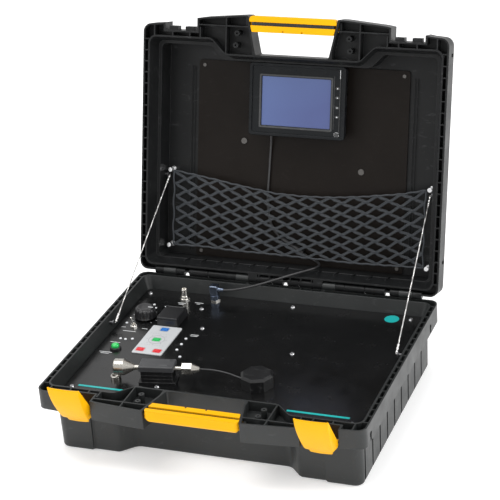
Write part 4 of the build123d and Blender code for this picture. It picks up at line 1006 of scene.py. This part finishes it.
# printed marks on the panel: plain bars, ticks and dots, with no lettering
bm = bmesh.new()
BARS = [(-152, 136.5, 13, 1.1), (-152, 132.8, 9, 1.1), (-126, 142.5, 14, 1.1), (-126, 138.8, 6, 1.1),
        (-94.5, 44.0, 13, 1.1), (-94.5, 40.2, 12, 1.1), (-210, 44.5, 7, 1.1), (-176, 46.0, 9, 1.1),
        (-196, 33.8, 21, 1.1), (-203, -2.6, 16, 1.1), (-205, -33.5, 20, 1.1), (-205, -37.4, 13, 1.1)]
for x, y, w, h in BARS:
    plate_bm(bm, round_rect(x, y, w, h, h * 0.45, 3), 85.0, 85.14)
for x, y in ((-192.3, 122.5), (-171.5, 120.0), (-185.9, 112.5), (-160.8, 119.0)):
    plate_bm(bm, disc_loop(x, y, 2.05), 85.0, 85.6)
for k in range(11):
    a = D(225 - 27 * k)
    c, d = math.cos(a), math.sin(a)
    px, py = knob_at[0] + 19.6 * c, knob_at[1] + 19.6 * d
    plate_bm(bm, [(px - d * 0.35, py + c * 0.35), (px + d * 0.35, py - c * 0.35),
                  (px + c * 2.2 + d * 0.35, py + d * 2.2 - c * 0.35), (px + c * 2.2 - d * 0.35, py + d * 2.2 + c * 0.35)],
             85.0, 85.14)
marks = mesh_object("panel_marks", bm, white, "led_white")
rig.ride(marks, "base")

# keypad print: fine frames round the keys, a guide ring and a field of dots
bm = bmesh.new()
for x, y in ((-144.0, 47.5), (-144.0, 15.5), (-156.5, -17.0), (-130.0, -17.0)):
    ring_bm(bm, round_rect(x, y, 14.6, 12.2, 2.6), round_rect(x, y, 13.9, 11.5, 2.3), 86.6, 86.72)
n = 40
ring_bm(bm, disc_loop(-144.0, 15.5, 12.4, n), disc_loop(-144.0, 15.5, 11.9, n), 86.6, 86.72)
for k in range(8):
    a = 2 * math.pi * k / 8
    plate_bm(bm, disc_loop(-144.0 + 15.2 * math.cos(a), 15.5 + 15.2 * math.sin(a), 0.7, 10), 86.6, 86.72)
for i in range(9):
    plate_bm(bm, disc_loop(-160.4 + i * 4.1, 33.4, 0.5, 8), 86.6, 86.70)
    plate_bm(bm, disc_loop(-160.4 + i * 4.1, -1.5, 0.5, 8), 86.6, 86.70)
keypad_print = mesh_object("keypad_print", bm, grey_print, "keypad_grey")
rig.ride(keypad_print, "base")
for label, x, y, paint, slot_name in (("blue", -144.0, 47.5, blue, "key_blue"), ("green", -144.0, 15.5, green, "key_green"),
                                      ("red_left", -156.5, -17.0, red, "key_red"), ("red_right", -130.0, -17.0, red, "key_red")):
    bm = bmesh.new()
    ring_bm(bm, round_rect(x, y, 12.4, 10.0, 2.0, 8), round_rect(x, y, 8.8, 6.5, 3.0, 8), 86.55, 86.80)
    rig.ride(mesh_object("key_field_" + label, bm, paint, slot_name), "base")

# ---------------------------------------------------------------- monitor details (shut-case millimetres, screen looks down)
MZ = 137.3
bm = bmesh.new()
cy = -83.5
ring_bm(bm, round_rect(0, cy, 153.0, 111.0, 5.0), round_rect(0, cy, 143.0, 101.0, 2.6), MZ + 0.2, MZ - 2.0, lid, 0.7)
rim = mesh_object("monitor_rim", bm, monitor_black, "monitor_black", 30)
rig.ride(rim, "lid")
bm = bmesh.new()
ring_bm(bm, round_rect(-2, -81, 117.0, 82.0, 2.2), round_rect(-2, -81, 111.4, 76.4, 1.4), MZ + 0.2, MZ - 0.7, lid, 0.25)
box_bm(bm, (71.0 - 3.2, -84, MZ - 0.35), (0.8, 96, 0.9), lid, 0.15)
box_bm(bm, (58.6, -84, MZ - 0.2), (0.6, 80, 0.6), lid, 0.1)
inner = mesh_object("monitor_inner_frame", bm, monitor_key, "monitor_black", 30)
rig.ride(inner, "lid")
bm = bmesh.new()
box_bm(bm, (67.8, -127.5, MZ - 0.75), (0.9, 13, 0.5), lid, 0.12)
bright = mesh_object("monitor_trim_line", bm, hook_steel, "hook_steel")
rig.ride(bright, "lid")
bm = bmesh.new()
ring_bm(bm, disc_loop(64, -36, 4.2, 28), disc_loop(64, -36, 3.7, 28), MZ + 0.2, MZ - 0.6, lid, 0.1)
rings = mesh_object("monitor_rings", bm, hook_steel, "hook_steel")
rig.ride(rings, "lid")
for label, y, shape in (("menu", -106, 0), ("up", -92, 1), ("down", -77, 2), ("mode", -63, 0)):
    bm = bmesh.new()
    if shape == 0:
        loop = disc_loop(64, y, 0.95, 14)
    else:
        t = -1 if shape == 1 else 1
        loop = [(62.9, y - t * 0.7), (65.1, y - t * 0.7), (64, y + t * 1.1)]
    plate_bm(bm, loop, 141.4, 136.2, lid)
    mark_piece = mesh_object("monitor_mark_" + label, bm, white, "led_white")
    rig.ride(mark_piece, "monitor_" + label + "_body")

# ---------------------------------------------------------------- lid and base trim that stands on the shells
# slots and ribs moulded into the lid's right side wall, and a light ridge down its left
bm = bmesh.new()
for y in (-108, -72, -36, 0):
    box_bm(bm, (217.0, y, 150), (2.6, 1.6, 22), lid, 0.3)
for x in (176.5, 181.0):
    box_bm(bm, (x, 20, 161.4), (1.1, 290, 0.9), lid, 0.3)
for x in (-176.5, -181.0):
    box_bm(bm, (x, 20, 161.4), (1.1, 290, 0.9), lid, 0.3)
for k in range(-6, 7):
    box_bm(bm, (k * 27.0 - 4, 172.4, 119), (1.2, 2.0, 27), lid, 0.3)
ribs = mesh_object("lid_inner_ribs", bm, lid_case_painted_shade, "case_plastic")
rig.ride(ribs, "lid")
# long barrels between the hinge knuckles, on the hinge's own axis, with a small opening left beside each joint
for k, (x0, x1) in enumerate(((-158.0, -127.0), (-126.2, -94.6), (-45.4, -22.4), (-21.6, -3.6), (3.6, 21.6), (22.4, 45.4),
                              (94.6, 126.2), (127.0, 158.0))):
    w = (x1 - x0) * MM
    piece = revolve("hinge_barrel_%d" % (k + 1), [(0, 5.0 * MM), (0.5 * MM, 5.55 * MM), (w - 0.5 * MM, 5.55 * MM), (w, 5.0 * MM)],
                    mm(x0, 191, 111), (1, 0, 0), lid_case_painted_shade, "case_plastic", 32)
    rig.ride(piece, "lid")

# ---------------------------------------------------------------- stage and light
floor_mat = Mat("floor")
floor_c = floor_mat.mix(floor_mat.ramp(floor_mat.noise(2.0, 2.0, 0.5), 0.3, 0.7), (0.86, 0.86, 0.86), (0.88, 0.88, 0.88))
floor_mat.put(floor_mat.bsdf.inputs["Base Color"], floor_c)
floor_mat.bsdf.inputs["Roughness"].default_value = 0.75
floor_mat.bsdf.inputs["Emission Color"].default_value = (1, 1, 1, 1)
floor_mat.bsdf.inputs["Emission Strength"].default_value = 0.28
floor_mesh = bpy.data.meshes.new("floor")
floor_mesh.from_pydata([(-14, -14, 0), (14, -14, 0), (14, 14, 0), (-14, 14, 0)], [], [(0, 1, 2, 3)])
floor = link(bpy.data.objects.new("floor", floor_mesh))
floor.location.z = CAD_BOX[0][2] - 0.0002
floor_mesh.materials.append(floor_mat.m)
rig.stage(floor)

world = bpy.data.worlds.new("world")
bpy.context.scene.world = world
world.use_nodes = True
world.node_tree.nodes["Background"].inputs["Color"].default_value = (1, 1, 1, 1)
world.node_tree.nodes["Background"].inputs["Strength"].default_value = 0.9


def area(name, at, look, size, power, color=(1, 1, 1), size_y=None):
    data = bpy.data.lights.new(name, "AREA")
    data.shape = "RECTANGLE" if size_y else "SQUARE"
    data.size = size
    if size_y:
        data.size_y = size_y
    data.energy = power
    data.color = color
    obj = link(bpy.data.objects.new(name, data))
    obj.location = at
    obj.rotation_euler = (Vector(look) - Vector(at)).to_track_quat("-Z", "Y").to_euler()
    return obj


area("softbox_top", (-0.5, -0.2, 2.6), (0, 0, 0.1), 1.5, 34)
area("softbox_right", (2.5, 0.1, 1.3), (0, 0, 0.12), 1.4, 42)
area("softbox_left", (-2.2, -1.7, 1.5), (0, 0, 0.2), 1.1, 20)
area("softbox_front", (0.9, -2.6, 0.55), (0, 0, 0.12), 0.9, 9)
bpy.context.scene.view_settings.view_transform = "Standard"

# ---------------------------------------------------------------- close
low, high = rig.bounds()
with open("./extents.json", "w") as f:
    json.dump({"cad": CAD_BOX, "visual": [[float(v) for v in low], [float(v) for v in high]]}, f)
